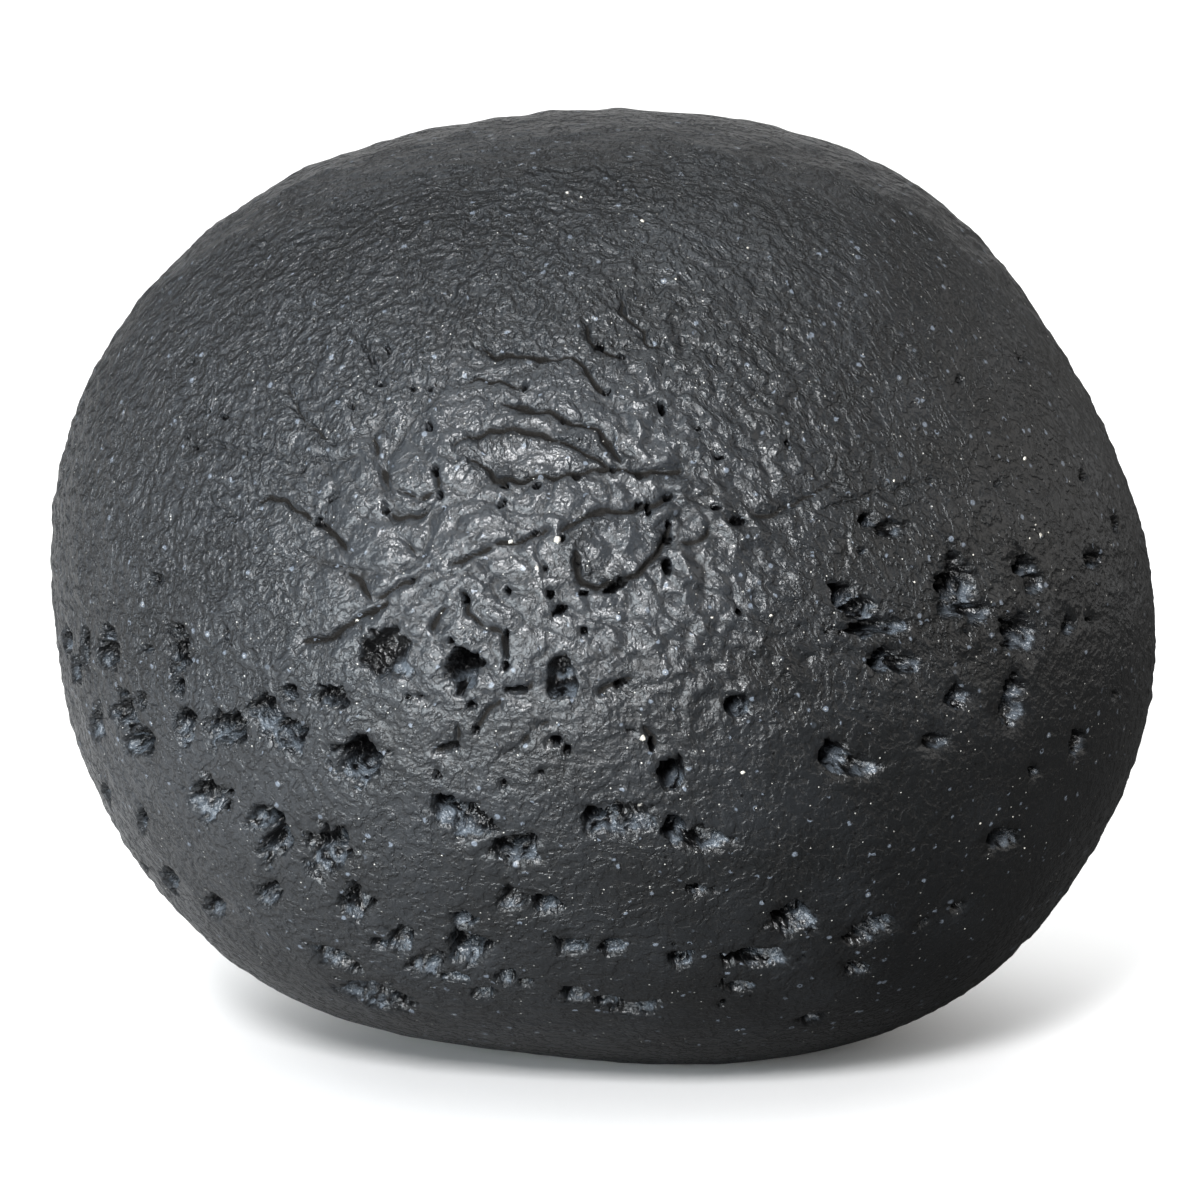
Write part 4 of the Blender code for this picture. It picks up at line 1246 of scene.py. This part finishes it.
# %% Milky mineral
GRAIN_WHITE = (0.72, 0.69, 0.62, 1.0)
GRAIN_GREY = (0.42, 0.40, 0.36, 1.0)
MOTTLING_WIDTH = 0.5
MOTTLING_DETAIL = 2.0
MOTTLING_BETWEEN = (0.35, 0.65)

milky, shader = new_material("milky mineral")
finish = Finish(milky)
wave = finish.noise(finish.millimetres(), MOTTLING_WIDTH, MOTTLING_DETAIL)
mottling = finish.ramp(wave, *MOTTLING_BETWEEN)
finish.wire(finish.blend(mottling, GRAIN_WHITE, GRAIN_GREY), shader.inputs["Base Color"])
shader.inputs["Roughness"].default_value = 0.45
grain_mesh.materials.append(milky)
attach(pale_grains, "root")
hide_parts("stone")

# %% [markdown]
# ## Floor, light and camera
#
# The stone lies on a white floor, a disc so large that its edge is out of view. The camera
# sees it white. Light that bounces off it finds it greyer, and more so on the right, so that
# the underside of the stone stays dark.

# %% White floor
FLOOR_RADIUS = 6000.0
FLOOR_SIDES = 96
FLOOR_SEEN = (0.93, 0.93, 0.93, 1.0)
FLOOR_BOUNCE_LEFT = (0.50, 0.50, 0.50, 1.0)
FLOOR_BOUNCE_RIGHT = (0.06, 0.06, 0.06, 1.0)
FLOOR_BOUNCE_FADES = (-120.0, 60.0)


def disc(radius, sides):
    """Points on a circle, and a fan of triangles from its middle."""
    angle = np.arange(sides) / sides * math.tau
    ring = np.stack([np.cos(angle), np.sin(angle), np.zeros(sides)], axis=-1) * radius
    points = np.vstack([ring, (0.0, 0.0, 0.0)])
    number = np.arange(sides)
    return points, np.stack([number, np.roll(number, -1), np.full(sides, sides)], axis=-1)


floor = add_object("floor", mesh_from_triangles("floor", *disc(FLOOR_RADIUS, FLOOR_SIDES)))
white_paper, shader = new_material("white paper")
finish = Finish(white_paper)
path = finish.nodes.new("ShaderNodeLightPath")
across = finish.nodes.new("ShaderNodeSeparateXYZ")
finish.wire(finish.millimetres(), across.inputs["Vector"])
rightness = finish.ramp(across.outputs["X"], *FLOOR_BOUNCE_FADES)
bounce = finish.blend(rightness, FLOOR_BOUNCE_LEFT, FLOOR_BOUNCE_RIGHT)
paper = finish.blend(path.outputs["Is Camera Ray"], bounce, FLOOR_SEEN)
finish.wire(paper, shader.inputs["Base Color"])
shader.inputs["Roughness"].default_value = 1.0
shader.inputs["Specular IOR Level"].default_value = 0.0
floor.data.materials.append(white_paper)

# %% [markdown]
# The light is soft and comes from square boxes. A small one, above the camera and a little left
# of it, makes the shine on the folded skin. Wider ones above, at the left and at the right give
# the rest, cool from the left and warm from the right, and three weak ones behind keep the back
# readable.

# %% Lights
SCENE_MIDDLE = MIDDLE * MM


def soft_box(name, toward, distance, size, power, colour=(1.0, 1.0, 1.0)):
    """A square area light at a distance along a direction (right, up, to the viewer)."""
    light = bpy.data.lights.new(name, "AREA")
    light.shape = "SQUARE"
    light.size = size
    light.energy = power
    light.color = colour
    box = bpy.data.objects.new(name, light)
    heading = unit(from_front(*toward))
    box.location = SCENE_MIDDLE + heading * distance
    turn = box.location - type(box.location)(SCENE_MIDDLE)
    box.rotation_euler = turn.to_track_quat("Z", "Y").to_euler()
    box.visible_camera = False
    bpy.context.scene.collection.objects.link(box)
    return box


soft_box("key box", (-0.16, 0.30, 0.94), 1.6, 0.35, 31.0, (0.99, 0.99, 1.0))
soft_box("low front box", (-0.10, -0.30, 0.95), 0.4, 0.2, 0.6)
soft_box("low left box", (-0.50, -0.25, 0.85), 0.5, 0.3, 2.9, (0.88, 0.96, 1.0))
soft_box("upper left box", (-0.50, 0.70, 0.50), 1.5, 1.0, 3.8, (0.90, 0.97, 1.0))
soft_box("overhead box", (0.0, 1.0, 0.0), 1.6, 1.6, 11.0, (0.96, 0.99, 1.0))
soft_box("right box", (0.95, 0.20, 0.25), 1.5, 1.2, 5.6, (1.0, 0.96, 0.91))
soft_box("rear left box", (-0.80, 0.30, -0.50), 1.5, 1.2, 1.4)
soft_box("rear right box", (0.80, 0.30, -0.50), 1.5, 1.2, 2.1)
soft_box("rear box", (0.0, 0.35, -0.95), 1.6, 1.0, 2.0)

# %% [markdown]
# A dark stone on white paper needs much more light on the paper than on the stone. So one wide
# box overhead shines on the floor alone. That is called light linking: the box lights only the
# objects of one collection, and the stone still casts a shadow in its light.

# %% Light for the floor alone
floor_alone = bpy.data.collections.new("floor alone")
floor_alone.objects.link(floor)
paper_box = soft_box("paper box", (0.0, 0.98, -0.20), 2.0, 5.0, 87.0)
paper_box.light_linking.receiver_collection = floor_alone

# %% [markdown]
# The world is white where the camera looks past the floor, and dim grey for the light that
# reaches the stone, so that its dark skin stays dark.

# %% World
WORLD_SEEN = (1.0, 1.0, 1.0, 1.0)
WORLD_LIGHT = (0.10, 0.098, 0.095, 1.0)
world = bpy.data.worlds.new("white studio")
world.use_nodes = True
bpy.context.scene.world = world
background = world.node_tree.nodes["Background"]
finish = Finish(world)
path = finish.nodes.new("ShaderNodeLightPath")
seen_or_light = finish.blend(path.outputs["Is Camera Ray"], WORLD_LIGHT, WORLD_SEEN)
finish.wire(seen_or_light, background.inputs["Color"])

# %% [markdown]
# The camera stands where the photographer stood: straight in front, 12 degrees above level and
# 1.5 m away, with a long lens whose frame is 196.3 mm wide at the stone's middle.

# %% Camera
FRAME_WIDTH = 196.32
SENSOR_WIDTH = 36.0
NEAREST = 0.05
FARTHEST = 20.0
lens = bpy.data.cameras.new("camera")
lens.sensor_width = SENSOR_WIDTH
lens.lens = SENSOR_WIDTH * VIEWING_DISTANCE / FRAME_WIDTH
lens.clip_start = NEAREST
lens.clip_end = FARTHEST
camera = bpy.data.objects.new("camera", lens)
camera.location = SCENE_MIDDLE + from_front(0.0, 0.0, VIEWING_DISTANCE * MM)
camera.rotation_euler = (math.pi / 2 - LEAN, 0.0, 0.0)
bpy.context.scene.collection.objects.link(camera)
bpy.context.scene.camera = camera
bpy.context.scene.view_settings.view_transform = "Standard"
print("lens:", round(lens.lens), "mm")
